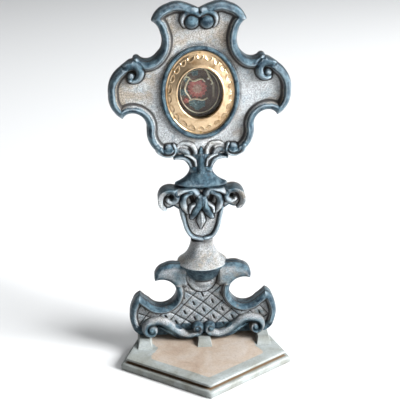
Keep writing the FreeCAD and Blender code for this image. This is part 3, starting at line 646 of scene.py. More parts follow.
silver = carvedSilver("carvedSilver")
brass = brassFinish("pressedBrass", (0.66, 0.49, 0.31, 1), (0.42, 0.26, 0.13, 1), 0.30, 160)
fittings = brassFinish("dullBrass", (0.40, 0.28, 0.13, 1), (0.22, 0.14, 0.06, 1), 0.42, 190)
steel = brassFinish("dullSteel", (0.36, 0.36, 0.37, 1), (0.17, 0.15, 0.13, 1), 0.4, 190)
plinthPaint = plinthFinish("plinthPaint")
plainWood = woodFinish("plainWood")
glass = glassFinish("windowGlass")
print("materials made")

display = {
    "step": 0.6 if fine else 1.1,
    "outerBevel": 4.8,
    "innerBevel": 4.2,
    "crest": 4.9,
    "edgeDrop": 1.4,
    "backBevel": 5.5,
    "framingLine": (34.2, 41.2),  # half width and half height of the cut line round the moulding
}
displayLine = outlinePath((0, 0), [
    (21, 0), (25.5, -1.7, 31, -1.6), (41.5, 6.3, 46, 23), (49.4, 33.6, 58, 37.4), (62.6, 36.2, 66, 32.5),
    (75.3, 42.3, 77.5, 54), (75.2, 67.2, 67, 76.7), (62, 80.4, 56, 82), (55.6, 84), (53.4, 85.3, 50, 83.7),
    (44.5, 81.9, 39, 83.7), (32.2, 93, 32.6, 106), (34.9, 111.5, 39.5, 115.5), (34.3, 124, 26, 128.6),
    (19, 130.5, 11, 129.2), (4.6, 126.8, 0, 124.5),
]) + [0, displayFoot]


def displayFront(x, z, inward):
    # Border: a slope up to the crest, then a hollow slope down to the field; curls end the border.
    up = z - displayFoot
    past = inward - display["outerBevel"]
    inner = np.clip(past / display["innerBevel"], 0, 1)
    height = np.where(past < 0, borderRise(display, inward),
                      display["crest"] * (0.5 + 0.5 * np.cos(pi * inner ** 0.85)))
    height = height - 0.5 * np.exp(-((past - display["innerBevel"] + 0.6) / 0.9) ** 2)
    sprouting = ease((23 - np.abs(x)) / 5) * ease((11 - up) / 4)
    height = height * (1 - sprouting) + sprouting * 0.9
    blue = np.where(past < 1.6, 1.0, 0.0) * (1 - 0.7 * sprouting)
    relief = newRelief(x, up, height, blue)
    for sign in (1, -1):
        mirror = (sign, 1)
        # Ball at the top, with the border winding onto it.
        dome(relief, (sign * 6.2, 114.6), 6.1, 5.8, 0.9, 0.7)
        ridge(relief, spiralPath((6.4, 114.8), 112, -36, 8.8, 7.4) * mirror,
              [3.4, 2.8, 2.0, 0.9], [5.0, 4.8, 3.8, 1.8], [1.0, 0.9, 0.4, 0.2], 0.4)
        # Volute at the side: a band that winds in to an eye.
        volute = spiralPath((56.6, 71.4), 62, 290, 9.4, 4.8, 110)
        pit(relief, (sign * 56.6, 70.6), 7.0, 1.6)
        ridge(relief, volute * mirror, [3.6, 3.6, 3.2, 2.4], [4.6, 5.2, 5.2, 4.6], [1.0, 0.9, 0.7, 0.9], 1.1)
        dome(relief, (sign * 57.6, 70.2), 3.0, 4.6, 1.0, 0.9)
        # Curl at the bottom.
        dome(relief, (sign * 27.6, 4.9), 4.6, 4.8, 1.0, 1.1)
        ridge(relief, spiralPath((28, 5.4), 10, -215, 9.6, 5.4) * mirror,
              [2.4, 1.8, 1.2], [4.2, 4.2, 3.4], 0.55, 0.6)
        # Two leaf edges that rise out of the collar.
        ridge(relief, smoothPath([(4.8, -3), (5.4, 3), (8.6, 8), (15, 9.6), (20, 7.6)]) * mirror,
              [2.2, 2.6, 2.0, 0.8], [3.0, 2.4, 1.6, 0.5], [0.5, 0.2, 0.1], 0.3)
        ridge(relief, smoothPath([(10, -3), (12.4, 1.4), (17, 3.6), (22, 2.2)]) * mirror,
              [2.0, 2.6, 2.2, 1.0], [2.6, 2.4, 2.0, 1.2], [0.7, 0.5, 0.8], 0.3)
        pit(relief, (sign * 8.6, 3.2), 2.0, 1.6, 1.8, sign * -35)
    ridge(relief, smoothPath([(-0.3, -3), (0, 2), (0.2, 6)]), [3.0, 2.6, 0.8], [3.4, 2.8, 0.8], 1.0, 0.5)
    height = relief["height"] + 0.16 * tremor(x, z, 16, 3) + 0.07 * tremor(x, z, 5, 4)
    # A dark line frames the oval moulding.
    ring = np.hypot(x / display["framingLine"][0], (z - windowZ) / display["framingLine"][1])
    height = height - 0.5 * np.exp(-((ring - 1) * 36) ** 2)
    return fieldY - height, relief["blue"], height


def displayBack(x, z, inward):
    # The back is flat, cut back towards the edge where the outline bulges, with a recess for the door.
    reach = display["backBevel"]
    bulge = ease((z - (displayFoot + 86)) / 8) + ease((np.abs(x) - 58) / 6)
    cut = np.clip(reach - inward, 0, reach) / reach
    flat = displayHigh[1] - cut ** 1.6 * (2.0 + 6.5 * np.clip(bulge, 0, 1))
    recess = (np.abs(x) <= doorHalf[0]) & (np.abs(z - windowZ) <= doorHalf[1])
    return np.where(recess, doorFloor, flat) + 0.05 * tremor(x, z, 9, 8)


doorLow, doorHigh = nodeBox("rear_door")
doorHalf = ((doorHigh[0] - doorLow[0]) / 2 + 0.6, (doorHigh[2] - doorLow[2]) / 2 + 0.6)
doorFloor = doorLow[1] - 0.4
caseLow, caseHigh = nodeBox("theca_case")
holeHalf = ((caseHigh[0] - caseLow[0]) / 2 + 0.1, (caseHigh[2] - caseLow[2]) / 2 + 0.1)
displayPiece = carvedBoard("displayBoard", displayLine, [ovalPath(*holeHalf, (0, windowZ))],
                           display["step"], displayFront, displayBack, silver)
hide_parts("display_panel")
print("display board carved")

foot = {
    "step": 0.5 if fine else 1.0,
    "outerBevel": 4.6,
    "innerBevel": 2.6,
    "crest": 3.2,
    "edgeDrop": 2.2,
    "field": footLow[1] + 3.2,
    "diamond": 11.6,
    "seat": (13.5, 15.5),  # half width and half height of the plain rest under the knop
    "seatAt": (-1, 58),
    "backBevel": 5,
}
footLine = outlinePath((0, 0), [
    (56.5, 0), (62.4, 4.2, 66, 11.5), (67.3, 22, 64, 33.5), (61.4, 38.2, 57, 41), (53.4, 37.4, 49, 34),
    (38, 28.6, 28, 33.2), (24.1, 42.5, 27.5, 51.5), (34.5, 55.4, 43, 54.5), (42.6, 63.5, 35, 69.8),
    (30, 71.5, 24, 71.3), (0, 71),
]) + [0, footLow[2]]


def footFront(x, z, inward):
    up = z - footLow[2]
    past = inward - foot["outerBevel"]
    inner = np.clip(past / foot["innerBevel"], 0, 1)
    horn = ease((up - 47) / 6) * ease((np.abs(x) - 12) / 4)
    side = ease((up - 5) / 6)
    rim = np.where(past < 0, borderRise(foot, inward),
                   foot["crest"] * (1 - inner) ** 1.5 - 0.7 * np.exp(-((inner - 0.85) / 0.3) ** 2))
    hornFace = np.where(inward < 3.0, -1.0 + (foot["crest"] + 1.0) * (inward / 3.0) ** 0.6,
                        foot["crest"] + 0.5 * ease((inward - 3) / 6))
    height = (rim * side - 0.5 * (1 - side)) * (1 - horn) + hornFace * horn
    blue = np.where((past < 0.6) & (horn < 0.5), 1.0, 0.0)
    blue = np.maximum(blue, ease((13 - up) / 4) * (inward > 0))
    blue = np.maximum(blue, 0.44 * ease(past / 2))
    blue = np.maximum(blue, horn * (0.50 + 0.35 * ease((6 - inward) / 6)))
    # The lattice stops at the border, at the horns and at the seat under the knop.
    seat = np.hypot((x - foot["seatAt"][0]) / foot["seat"][0], (up - foot["seatAt"][1]) / foot["seat"][1])
    lattice = ease((past - foot["innerBevel"]) / 1.5) * (1 - horn) * side * ease((seat - 1) / 0.08)
    spacing = foot["diamond"]
    a = (0.62 * x + 0.785 * up + 0.0025 * x * x - 1.5) / spacing
    b = (-0.72 * x + 0.70 * up + 0.002 * x * x + 1.0) / spacing
    for family in (a, b):
        gap = np.abs(family - np.round(family)) * spacing
        height = height - lattice * 0.95 * np.exp(-(gap / 0.62) ** 2)
    # A slot is punched in each diamond, and the diamond swells a little round it.
    u = (a - np.floor(a) - 0.5) * spacing
    v = (b - np.floor(b) - 0.5) * spacing
    slotLong = (u + v) * 0.70
    slotWide = u * 0.72 - v * 0.70 + 0.25 * slotLong
    height = height - lattice * 1.5 * np.exp(-(slotWide / 0.95) ** 4 - (slotLong / 2.3) ** 4)
    height = height + lattice * 0.35 * np.cos(pi * u / spacing) * np.cos(pi * v / spacing)
    height = height + 1.3 * ease((1.02 - seat) / 0.1) * (up < 60) - 0.8 * np.exp(-((seat - 1.05) / 0.05) ** 2)
    height = height + 0.14 * tremor(x, z, 13, 21) + 0.06 * tremor(x, z, 4, 22)
    return foot["field"] - height, blue, height


def footBack(x, z, inward):
    reach = foot["backBevel"]
    up = z - footLow[2]
    cut = np.clip(reach - inward, 0, reach) / reach * ease((up - 3) / 5)
    return footHigh[1] - cut ** 1.6 * (3.5 + 4 * ease((up - 56) / 8)) + 0.05 * tremor(x, z, 9, 9)


footPiece = carvedBoard("footBoard", footLine, [], foot["step"], footFront, footBack, silver)
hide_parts("foot_panel")
print("foot board carved")

scroll = {
    "base": footLow[1] + 3.0,
    "rise": [(8.5, 1.6), (14, 0.2), (21, 2.4), (28, 7.4), (34, 12.6), (40, 15.6), (46, 15.4)],
    "widths": [1.4, 2.4, 3.2, 4.2, 4.6, 4.4, 3.6, 3.0, 2.4, 1.5],
    "heights": [7.4, 7.6, 7.2, 6.4, 6.0, 6.4, 7.4, 8.0, 8.0, 6.4],
    "leaves": {  # path, half widths, height, blue
        "Low": ([(11, 1.5), (17, -1.2), (25, 0.6), (33, 5.6), (41, 9.4)],
                [1.2, 2.4, 2.8, 2.2, 0.8], 4.6, 0.85),
        "Tip": ([(19, 4.6), (25, 8.6), (31, 11.6), (35, 15.6)], [0.9, 2.2, 2.2, 0.7], 4.4, 0.85),
        "Drop": ([(14.5, 2.6), (17, -0.6), (17.4, -2.6)], [1.6, 1.8, 0.6], 5.4, 0.2),
    },
    "balls": {"Inner": (6.4, 7.6, 3.3), "Outer": (47.4, 7.0, 3.2)},  # across, up, radius
}
innerCurl = spiralPath((6.6, 8.0), 285, -60, 6.6, 1.9, 80)[::-1]
outerCurl = spiralPath((47.6, 7.2), 101, -330, 8.4, 2.0, 110)
sweep = np.concatenate([innerCurl, smoothPath(scroll["rise"])[4:-4], outerCurl[3:]])
arc = np.linspace(-pi / 2, pi / 2, 15)
flat = np.zeros(len(arc))
for side, sign in (("left", -1), ("right", 1)):
    mirror = (sign, 1)
    band = sweptBand(f"footScroll.{side}", sweep * mirror + (0, footLow[2]), scroll["base"], scroll["widths"],
                     scroll["heights"], silver, (1.0, 0.3)[::sign], 22)
    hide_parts(f"foot_scroll_{side}")
    # Leaf edges below the scroll, and a ball in each curl.
    for label, (line, widths, tall, blue) in scroll["leaves"].items():
        path = smoothPath(line, 8) * mirror + (0, footLow[2])
        leaf = sweptBand(f"footLeaf{label}.{side}", path, scroll["base"], widths,
                         [tall * 0.7, tall, tall, tall * 0.5], silver, (blue, blue), 16)
    for label, (across, up, radius) in scroll["balls"].items():
        ball = lathe(f"curlBall{label}.{side}", np.stack([radius * np.cos(arc), radius * np.sin(arc)], 1),
                     (sign * across, scroll["base"] - 4.6, footLow[2] + up), silver,
                     {"blue": flat + 0.9, "hollow": flat, "plain": flat}, 32)
print("scrolls laid on")

knop = {
    "profile": [  # radius and height, from the foot up
        (0, 0), (7.6, 0), (8.4, 0.6), (10.2, 2.6), (11.6, 5.2), (12.2, 8), (12.0, 9.2), (12.4, 9.6),
        (14.2, 11), (16.2, 14), (18.2, 18), (20.2, 21.5), (22.2, 24.1), (22.5, 24.9), (22.3, 25.6),
        (20.6, 26.8), (17.6, 29.2), (14.6, 32.6), (12.2, 37), (10.8, 41), (10, 44.5), (9.9, 46), (0, 46),
    ],
    "blue": [0, 0, 0, 0, 0, 0, 0.4, 1, 1, 1, 1, 1, 1, 0.6, 0, 0, 0, 0, 0, 0, 0, 0, 0],
    # The hollow row paints shade: in the groove at the join, over the cone and most under the node above; its
    # negative values paint rubbed leaf and a highlight on the rim's crest.
    "hollow": [0, 0.1, 0.1, 0, 0, 0.1, 0.7, 0.5, 0.2, 0.1, 0.05, 0.05, 0.0, -0.9, -0.6, 0.08, 0.1, 0.12, 0.14,
               0.18, 0.25, 0.4, 0],
    "finer": 3,
}
rowAt = np.arange(len(knop["profile"]))
fineRows = np.linspace(0, rowAt[-1], rowAt[-1] * knop["finer"] + 1)
profile = np.array(knop["profile"])
knopPiece = lathe("turnedKnop", np.stack([np.interp(fineRows, rowAt, profile[:, k]) for k in (0, 1)], 1),
                  (0, axisY, bellLow[2]), silver, {
    "blue": np.interp(fineRows, rowAt, knop["blue"]),
    "hollow": np.interp(fineRows, rowAt, knop["hollow"]),
    "plain": np.zeros(len(fineRows)),
})
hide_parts("bell_knop")

stem = {
    "step": 0.4 if fine else 0.8,
    "field": stemLow[1] + 5.2,
    "roundOver": 7.0,
}
stemLine = outlinePath((0, 0), [
    (8, 2.4, 14, 9.5), (17.8, 20, 20, 30.5), (24.5, 33.6), (29.4, 31.8, 34.4, 32.4), (38.5, 40.5, 36, 48.6),
    (31, 51.6, 24, 51.4), (13, 52), (0, 52),
], 0.5) + [0, stemLow[2]]


def stemFront(x, z, inward):
    # The cup is round, and the volutes and leaves stand on it.
    height = -4.5 + 4.5 * rounded(inward, stem["roundOver"])
    relief = newRelief(x, z - stemLow[2], height, np.where(inward < 2.6, 1.0, 0.05))
    rimPath = smoothPath([(17.6, 33), (16.2, 24), (13.6, 13), (8.6, 5.6), (0, 2.8)])
    for sign in (1, -1):
        mirror = (sign, 1)
        ridge(relief, rimPath * mirror, [1.9, 1.7], [2.4, 2.2], 0.95, 0.9)
        # Volute: a horn that rolls in to a hollow eye.
        pit(relief, (sign * 27.4, 43.4), 7.0, 1.5)
        ridge(relief, spiralPath((27.0, 43.6), -62, 318, 13.0, 3.4, 150) * mirror,
              [2.4, 3.9, 4.2, 3.6, 2.8, 2.0], [2.4, 4.8, 5.8, 6.0, 5.4, 4.2],
              [0.2, 0.2, 0.35, 0.8, 0.8, 0.3], 1.1)
        pit(relief, (sign * 27.0, 43.4), 1.7, 2.6, 1.0, 0, 0.1)
        # Arch from the volute in to the middle, bright along its top.
        ridge(relief, smoothPath([(20.5, 48), (15.4, 50.2), (9, 49.8), (4.4, 47), (1.6, 42)]) * mirror,
              [2.6, 3.0, 3.2, 2.8, 1.8], [5.6, 6.0, 6.0, 5.6, 4.6], [0.3, 0.55, 0.85, 1.0, 1.0], 0.8)
        # The leaf that turns down at the side.
        ridge(relief, smoothPath([(9.5, 48), (14.4, 45.4), (16.4, 40), (15.2, 34), (12.6, 29)]) * mirror,
              [2.4, 3.0, 3.0, 2.8, 1.2], [5.4, 5.6, 5.2, 4.6, 2.8], [0.9, 0.95, 0.75, 0.35, 0.1], 0.9)
        # The blue lobe that falls from the middle.
        ridge(relief, smoothPath([(0.8, 43), (2.4, 37), (5.6, 31), (8.8, 24.4)]) * mirror,
              [3.4, 4.2, 4.2, 2.0], [5.2, 5.8, 5.4, 3.4], 1.0, 0.9)
        ridge(relief, smoothPath([(6.4, 37.5), (9.6, 34), (10.6, 29.5)]) * mirror,
              [1.4, 2.0, 1.2], [5.0, 5.4, 4.4], 0.1, 0.5)
        pit(relief, (sign * 8.6, 41.6), 2.1, 4.2, 2.1, sign * -20, 0.0)
    # Bud under the leaves.
    ridge(relief, smoothPath([(-0.6, 28.5), (-0.8, 21), (-1.0, 13.4)]),
          [2.2, 4.2, 0.7], [4.4, 4.6, 1.6], 0.35, 0.9)
    ridge(relief, smoothPath([(-0.4, 28), (-0.4, 20), (-0.8, 14)]),
          [0.9, 1.2, 0.5], [5.4, 5.6, 2.2], 0.0, 0.3)
    height = relief["height"] + 0.10 * tremor(x, z, 8, 31)
    return stem["field"] - height, relief["blue"], height


def stemBack(x, z, inward):
    return stemHigh[1] - 5.5 + 5.5 * rounded(inward, stem["roundOver"]) + 0.05 * tremor(x, z, 9, 33)


stemPiece = carvedBoard("stemNode", stemLine, [], stem["step"], stemFront, stemBack, silver)
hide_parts("stem_node")
print("node carved")

collarTall = collarHigh[2] - collarLow[2]
collar = {
    "around": 140,
    "rows": 60,
    "halfWide": ([0, 1.2, 2.4, 4, 6.5, 9.5, 12.5, 15, 18, 21, 23.5, 26, collarTall],
                 [21.4, 22.9, 23.0, 19.5, 15.4, 12.4, 10.6, 10.0, 9.8, 10.2, 11.2, 12.5, 12.5]),
    "halfDeep": ([0, 1.2, 2.4, 5, 9, 14, 20, collarTall], [8.6, 9.4, 9.5, 8.6, 7.8, 7.4, 7.4, 7.6]),
    "fullness": 0.85,  # 1 gives an ellipse, less fills its corners
    "tongue": 1.6,
}
t = np.linspace(0, 2 * pi, collar["around"], endpoint=False)
up = np.linspace(0, 1, collar["rows"])[:, None] * collarTall
fromFront = t - 1.5 * pi
tongue = np.exp(-(fromFront / 0.33) ** 2) * ease((up - 9) / 8)
edgeGroove = np.exp(-((np.abs(fromFront) - 0.62) / 0.12) ** 2) * ease((up - 12) / 6)
cx = np.interp(up, *collar["halfWide"]) * np.sign(np.cos(t)) * np.abs(np.cos(t)) ** collar["fullness"]
cy = np.interp(up, *collar["halfDeep"]) * np.sign(np.sin(t)) * np.abs(np.sin(t)) ** collar["fullness"]
cy = axisY + cy - collar["tongue"] * tongue + 0.9 * edgeGroove
mesh = closedRings(np.stack([cx, cy, collarLow[2] + up + 0 * cx], 2), (0, axisY, collarLow[2]),
                   (0, axisY, collarHigh[2]))
collarBlue = 0.8 + 0.2 * tongue - 0.15 * np.exp(-(up - 2.2) ** 2)
# Painted shade in the grooves beside the front tongue; the flare's rim is kept clear of it.
collarHollow = 0.8 * edgeGroove - 0.15 * np.exp(-((up - 2.4) / 0.8) ** 2)
collarPiece = meshObject("neckCollar", *mesh, {
    "blue": np.concatenate([collarBlue.ravel(), [1, 1]]),
    "hollow": np.concatenate([collarHollow.ravel(), [0, 0]]),
    "plain": np.zeros(len(mesh[0])),
}, silver)
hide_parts("neck_collar")

collarLeaf = {"step": 0.4 if fine else 0.8, "roundOver": 3.0}
leafLine = outlinePath((0, 13.5), [
    (9.6, 13.5), (11.6, 21, 14.5, 24.4), (18.5, 25.6, 23.4, 25.2), (24, 27.2, 22.6, 29.2), (16, 31), (0, 31),
], 0.4) + [0, collarLow[2]]


def leafFront(x, z, inward):
    height = -2.2 + 3.6 * rounded(inward, collarLeaf["roundOver"])
    relief = newRelief(x, z - collarLow[2], height, np.full(x.shape, 0.75))
    for mirror in ((1, 1), (-1, 1)):
        ridge(relief, smoothPath([(4.6, 21), (5.4, 25.5), (9.5, 29), (14, 30.2)]) * mirror,
              [1.2, 1.5, 1.2, 0.6], [4.0, 4.0, 3.2, 2.0], 0.0, 0.6)
        ridge(relief, smoothPath([(8.4, 20), (11, 25), (16, 27.6), (22.4, 27.4)]) * mirror,
              [1.1, 1.6, 1.7, 0.9], [2.6, 3.0, 3.0, 2.2], 0.65, 0.6)
    ridge(relief, smoothPath([(-0.2, 14), (0, 22), (0.2, 30.6)]), [3.2, 3.4, 3.0], [3.0, 3.6, 3.4], 1.0, 0.6)
    height = relief["height"] + 0.08 * tremor(x, z, 6, 41)
    return axisY - 6.6 - height, relief["blue"], height


def leafBack(x, z, inward):
    return axisY + 7.2 - 2.4 * (1 - np.clip(inward / collarLeaf["roundOver"], 0, 1)) ** 2


leafPiece = carvedBoard("collarLeaves", leafLine, [], collarLeaf["step"], leafFront, leafBack, silver)
print("collar made")

mould = {
    "inner": (matHigh[0] + 0.1, (matHigh[2] - matLow[2]) / 2 + 0.1),
    "halfWidth": 2.0,
    "height": 3.4,
    "blue": [0.1, 0.3] + [1.0] * 11 + [0.6, 0.3, 1, 1],
    # The hollow row paints rubbed leaf and a highlight on the inner slope, and shade where the moulding meets
    # the field.
    "hollow": [-0.3, -0.5, -0.1, 0, 0, 0, 0, 0, 0, 0, 0.05, 0.1, 0.2, 0.4, 0.6, 0.6, 0.4],
}
mouldSection = [(mould["halfWidth"] * (1 - cos(a)), fieldY - 0.2 - mould["height"] * sin(a) ** 0.8)
                for a in np.linspace(0, pi, 15)]
mouldSection += [(3.4, fieldY + 0.3), (0.4, fieldY + 0.3)]
mouldPiece = ovalSweep("ovalMoulding", *mould["inner"], mouldSection[::-1], silver, {
    "blue": mould["blue"][::-1],
    "hollow": mould["hollow"][::-1],
    "plain": [0] * len(mouldSection),
})
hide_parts("window_ring")

mat = {
    "outer": ((matHigh[0] - matLow[0]) / 2, (matHigh[2] - matLow[2]) / 2),
    "inner": (19.2, 22.0),
    "height": 3.3,
    "punches": 22,
    "punchAt": 0.70,  # share of the way out
    "punchHalf": (0.33, 0.20),
    "around": 660 if fine else 330,
    "across": 44 if fine else 24,
}
angle = np.linspace(0, 2 * pi, mat["around"], endpoint=False)[:, None]
v = np.linspace(0, 1, mat["across"])
halfX = mat["inner"][0] + (mat["outer"][0] - mat["inner"][0]) * v
halfZ = mat["inner"][1] + (mat["outer"][1] - mat["inner"][1]) * v
mx = halfX * np.cos(angle)
mz = windowZ + halfZ * np.sin(angle)
bead = np.exp(-((v - 0.07) / 0.06) ** 2)
sheetHeight = 0.4 + mat["height"] * (1 - np.clip((v - 0.06) / 0.84, 0, 1) ** 1.25) + 0.45 * bead
sheetHeight = sheetHeight + 1.1 * np.exp(-((v - 0.955) / 0.035) ** 2)
phase = angle * mat["punches"] / (2 * pi) + 0.05 * np.sin(angle * 5 + 1) + 0.04 * np.sin(angle * 11 + 2)
inUnit = phase - np.floor(phase) - 0.5
punch = np.hypot(inUnit / mat["punchHalf"][0], (v - mat["punchAt"]) / mat["punchHalf"][1])
moon = np.sqrt(np.clip(1 - punch ** 2, 0, 1)) * (v < mat["punchAt"])
lip = np.exp(-((punch - 1.1) / 0.16) ** 2) * (v < mat["punchAt"] + 0.04)
strength = 0.8 + 0.2 * np.sin(angle * 3 + 0.6)
matHeight = sheetHeight - strength * (0.85 * moon - 0.35 * lip)
dent = 0.18 * np.sin(angle * 4 + 1.5) * np.sin(pi * v) + 0.08 * np.sin(angle * 17) * v
my = fieldY - matHeight - dent
top = np.stack([mx, my + 0 * mx, mz], 2)
under = np.stack([mx, 0 * mx + fieldY - 0.05, mz], 2)
verts = np.concatenate([top.reshape(-1, 3), under.reshape(-1, 3)])
grid = np.arange(top[..., 0].size).reshape(mat["around"], mat["across"])
nextRow = np.roll(grid, -1, 0)
topQuads = np.stack([grid[:, :-1], nextRow[:, :-1], nextRow[:, 1:], grid[:, 1:]], 2).reshape(-1, 4)[:, ::-1]
underQuads = topQuads[:, ::-1] + grid.size
innerWall, outerWall = [
    np.stack([grid[:, k], grid[:, k] + grid.size, nextRow[:, k] + grid.size, nextRow[:, k]], 1)
    for k in (0, -1)
]
quads = np.concatenate([topQuads, underQuads, innerWall[:, ::-1], outerWall])
matPiece = meshObject("brassMat", verts, quads, [], {}, brass)
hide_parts("brass_mat")
print("window dressed")

lowerLow, lowerHigh = nodeBox("plinth_lower_step")
upperLow, upperHigh = nodeBox("plinth_upper_step")
outerRadius = -lowerLow[1]
topRadius = -upperLow[1]
seam = lowerHigh[2]
top = upperHigh[2]
# Rows of corner radius, height, rubbed, hollow, from the middle underneath to the middle on top. The hollow
# column paints grime and shade, most under the upper step's overhang.
plinth = {
    "perSide": 24,
    "rubbedRadius": 63.5,
    "lower": [
        (0, 0, 0, 0), (40, 0, 0, 0), (outerRadius - 0.8, 0, 0, 0), (outerRadius - 0.2, 0.15, 0, 0),
        (outerRadius, 0.7, 0, -0.1), (outerRadius, 2.5, 0, 0), (outerRadius, 4.2, 0, 0),
        (outerRadius - 0.1, 4.6, 0, -0.3), (outerRadius - 0.6, 5.1, 0, -0.3),
        (outerRadius - 1.2, seam - 0.05, 0, -0.1), (outerRadius - 3, seam, 0, 0.2),
        (outerRadius - 6, seam, 0, 0.8), (40, seam, 0, 1), (0, seam, 0, 1),
    ],
    "upper": [
        (0, seam + 0.02, 0, 1), (50, seam + 0.02, 0, 1), (73.0, seam + 0.02, 0, 1), (72.7, seam + 0.8, 0, 1),
        (72.9, seam + 1.5, 0, 1), (73.8, seam + 2.1, 0, 1), (74.8, seam + 2.3, 0, 0.8),
        (75.2, seam + 2.45, 0, 0.2), (topRadius, seam + 2.8, 0, -0.2), (topRadius, top - 0.6, 0, -0.2),
        (75.1, top - 0.15, 0, -0.5), (74.6, top, 0, -0.3),
    ],
    "flatRadii": (70, 66, 63, 61, 58, 54, 50, 45, 40, 34, 27, 18, 9),
}


def pentagonRing(radius, count):
    # Corner radius in, points along five straight sides out; the first corner faces the front.
    corners = -pi / 2 + np.arange(5) * 2 * pi / 5
    t = np.arange(count * 5) / count
    index = t.astype(int)
    share = (t - index)[:, None]
    a = np.stack([np.cos(corners), np.sin(corners)], 1)
    return radius * (a[index % 5] * (1 - share) + a[(index + 1) % 5] * share)


def pentagonPiece(name, rows, material):
    rows = np.array(rows, float)
    total = plinth["perSide"] * 5
    rings = np.stack([np.column_stack([pentagonRing(radius, plinth["perSide"]), np.full(total, height)])
                      for radius, height in rows[1:-1, :2]])
    verts, quads, tris = closedRings(rings, (0, 0, rows[0, 1]), (0, 0, rows[-1, 1]))
    narrow = ease((50 + 3 * np.sin(verts[:, 1] / 5) - np.abs(verts[:, 0] - 1)) / 5)
    traits = {
        "rubbed": perRing(rows[:, 2], total) * narrow * 0.9,
        "hollow": perRing(rows[:, 3], total),
    }
    return meshObject(name, verts, quads, tris, traits, material)


plinth["upper"] += [(r, top, ease((plinth["rubbedRadius"] - r) / 3), 0) for r in plinth["flatRadii"]]
plinth["upper"] += [(0, top, 1, 0)]
lowerPiece = pentagonPiece("plinthLower", plinth["lower"], plinthPaint)
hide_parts("plinth_lower_step")
upperPiece = pentagonPiece("plinthUpper", plinth["upper"], plinthPaint)
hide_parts("plinth_upper_step")
print("plinth built")

padLow, padHigh = nodeBox("silk_pad")
pad = {"around": 96, "rows": 26, "edgeRise": 1.4, "folds": 17}
silk = fibreFinish("darkSilk", (0.045, 0.024, 0.018, 1), (0.22, 0.155, 0.13, 1))
t = np.linspace(0, 2 * pi, pad["around"], endpoint=False)[:, None]
v = np.linspace(0.02, 1, pad["rows"])
padX = (padHigh[0] - padLow[0]) / 2 * v * np.cos(t)
padZ = windowZ + (padHigh[2] - padLow[2]) / 2 * v * np.sin(t)
fold = 0.25 * np.sin(t * pad["folds"] + 3 * v) * v + 0.18 * tremor(padX, padZ, 7, 51)
padY = padLow[1] + 0.35 + pad["edgeRise"] * v ** 5 - fold * 0.6
front = np.stack([padX, padY, padZ], 2).reshape(-1, 3)
rear = np.stack([padX, 0 * padX + padHigh[1], padZ], 2).reshape(-1, 3)
verts = np.concatenate([front, rear, [[0, padLow[1] + 0.35, windowZ], [0, padHigh[1], windowZ]]])
grid = np.arange(len(front)).reshape(pad["around"], pad["rows"])
nextRow = np.roll(grid, -1, 0)
faces = np.stack([grid[:, :-1], grid[:, 1:], nextRow[:, 1:], nextRow[:, :-1]], 2).reshape(-1, 4)
half = len(front)
wall = np.stack([grid[:, -1], grid[:, -1] + half, nextRow[:, -1] + half, nextRow[:, -1]], 1)
tris = np.concatenate([
    np.stack([grid[:, 0], nextRow[:, 0], np.full(pad["around"], 2 * half)], 1),
    np.stack([nextRow[:, 0] + half, grid[:, 0] + half, np.full(pad["around"], 2 * half + 1)], 1),
])
padPiece = meshObject("silkPad", verts, np.concatenate([faces, faces[:, ::-1] + half, wall]), tris, {}, silk)
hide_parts("silk_pad")
print("silk laid in")


def rosettes(name, places, baseY, material, around=72, rings=9):
    # places: (x, z, radius, petals, height, turn); each is a disc with petals, closed at the back.
    verts, quads, tris = [], [], []
    for cx, cz, radius, petals, height, turnBy in places:
        offset = sum(len(v) for v in verts)
        t = np.linspace(0, 2 * pi, around, endpoint=False)[:, None]
        share = np.linspace(0.12, 1, rings)
        lobes = np.abs(np.sin(petals * t / 2 + turnBy)) ** 0.7
        r = radius * share * (1 - 0.28 * share * (1 - lobes))
        y = baseY - height * ((1 - share ** 2) * 0.55 + 0.45 * lobes * np.sin(pi * share))
        front = np.stack([cx + r * np.cos(t), y, cz + r * np.sin(t)], 2).reshape(-1, 3)
        rear = front[rings - 1::rings] * [1, 0, 1] + [0, baseY + 0.3, 0]
        verts += [front, rear, np.array([[cx, baseY - height * 0.6, cz], [cx, baseY + 0.3, cz]])]
        grid = np.arange(around * rings).reshape(around, rings)
        after = np.roll(grid, -1, 0)
        back = around * rings + np.arange(around)
        backAfter = np.roll(back, -1)
        petalQuads = np.stack([grid[:, :-1], grid[:, 1:], after[:, 1:], after[:, :-1]], 2).reshape(-1, 4)
        quads.append(offset + petalQuads)
        quads.append(offset + np.stack([grid[:, -1], back, backAfter, after[:, -1]], 1))
        middle = around * (rings + 1)
        tris.append(offset + np.stack([grid[:, 0], after[:, 0], np.full(around, middle)], 1))
        tris.append(offset + np.stack([backAfter, back, np.full(around, middle + 1)], 1))
    return meshObject(name, np.concatenate(verts), np.concatenate(quads), np.concatenate(tris), {}, material)


discLow, discHigh = nodeBox("relic_disc")
discX, discZ = (discLow[0] + discHigh[0]) / 2, (discLow[2] + discHigh[2]) / 2
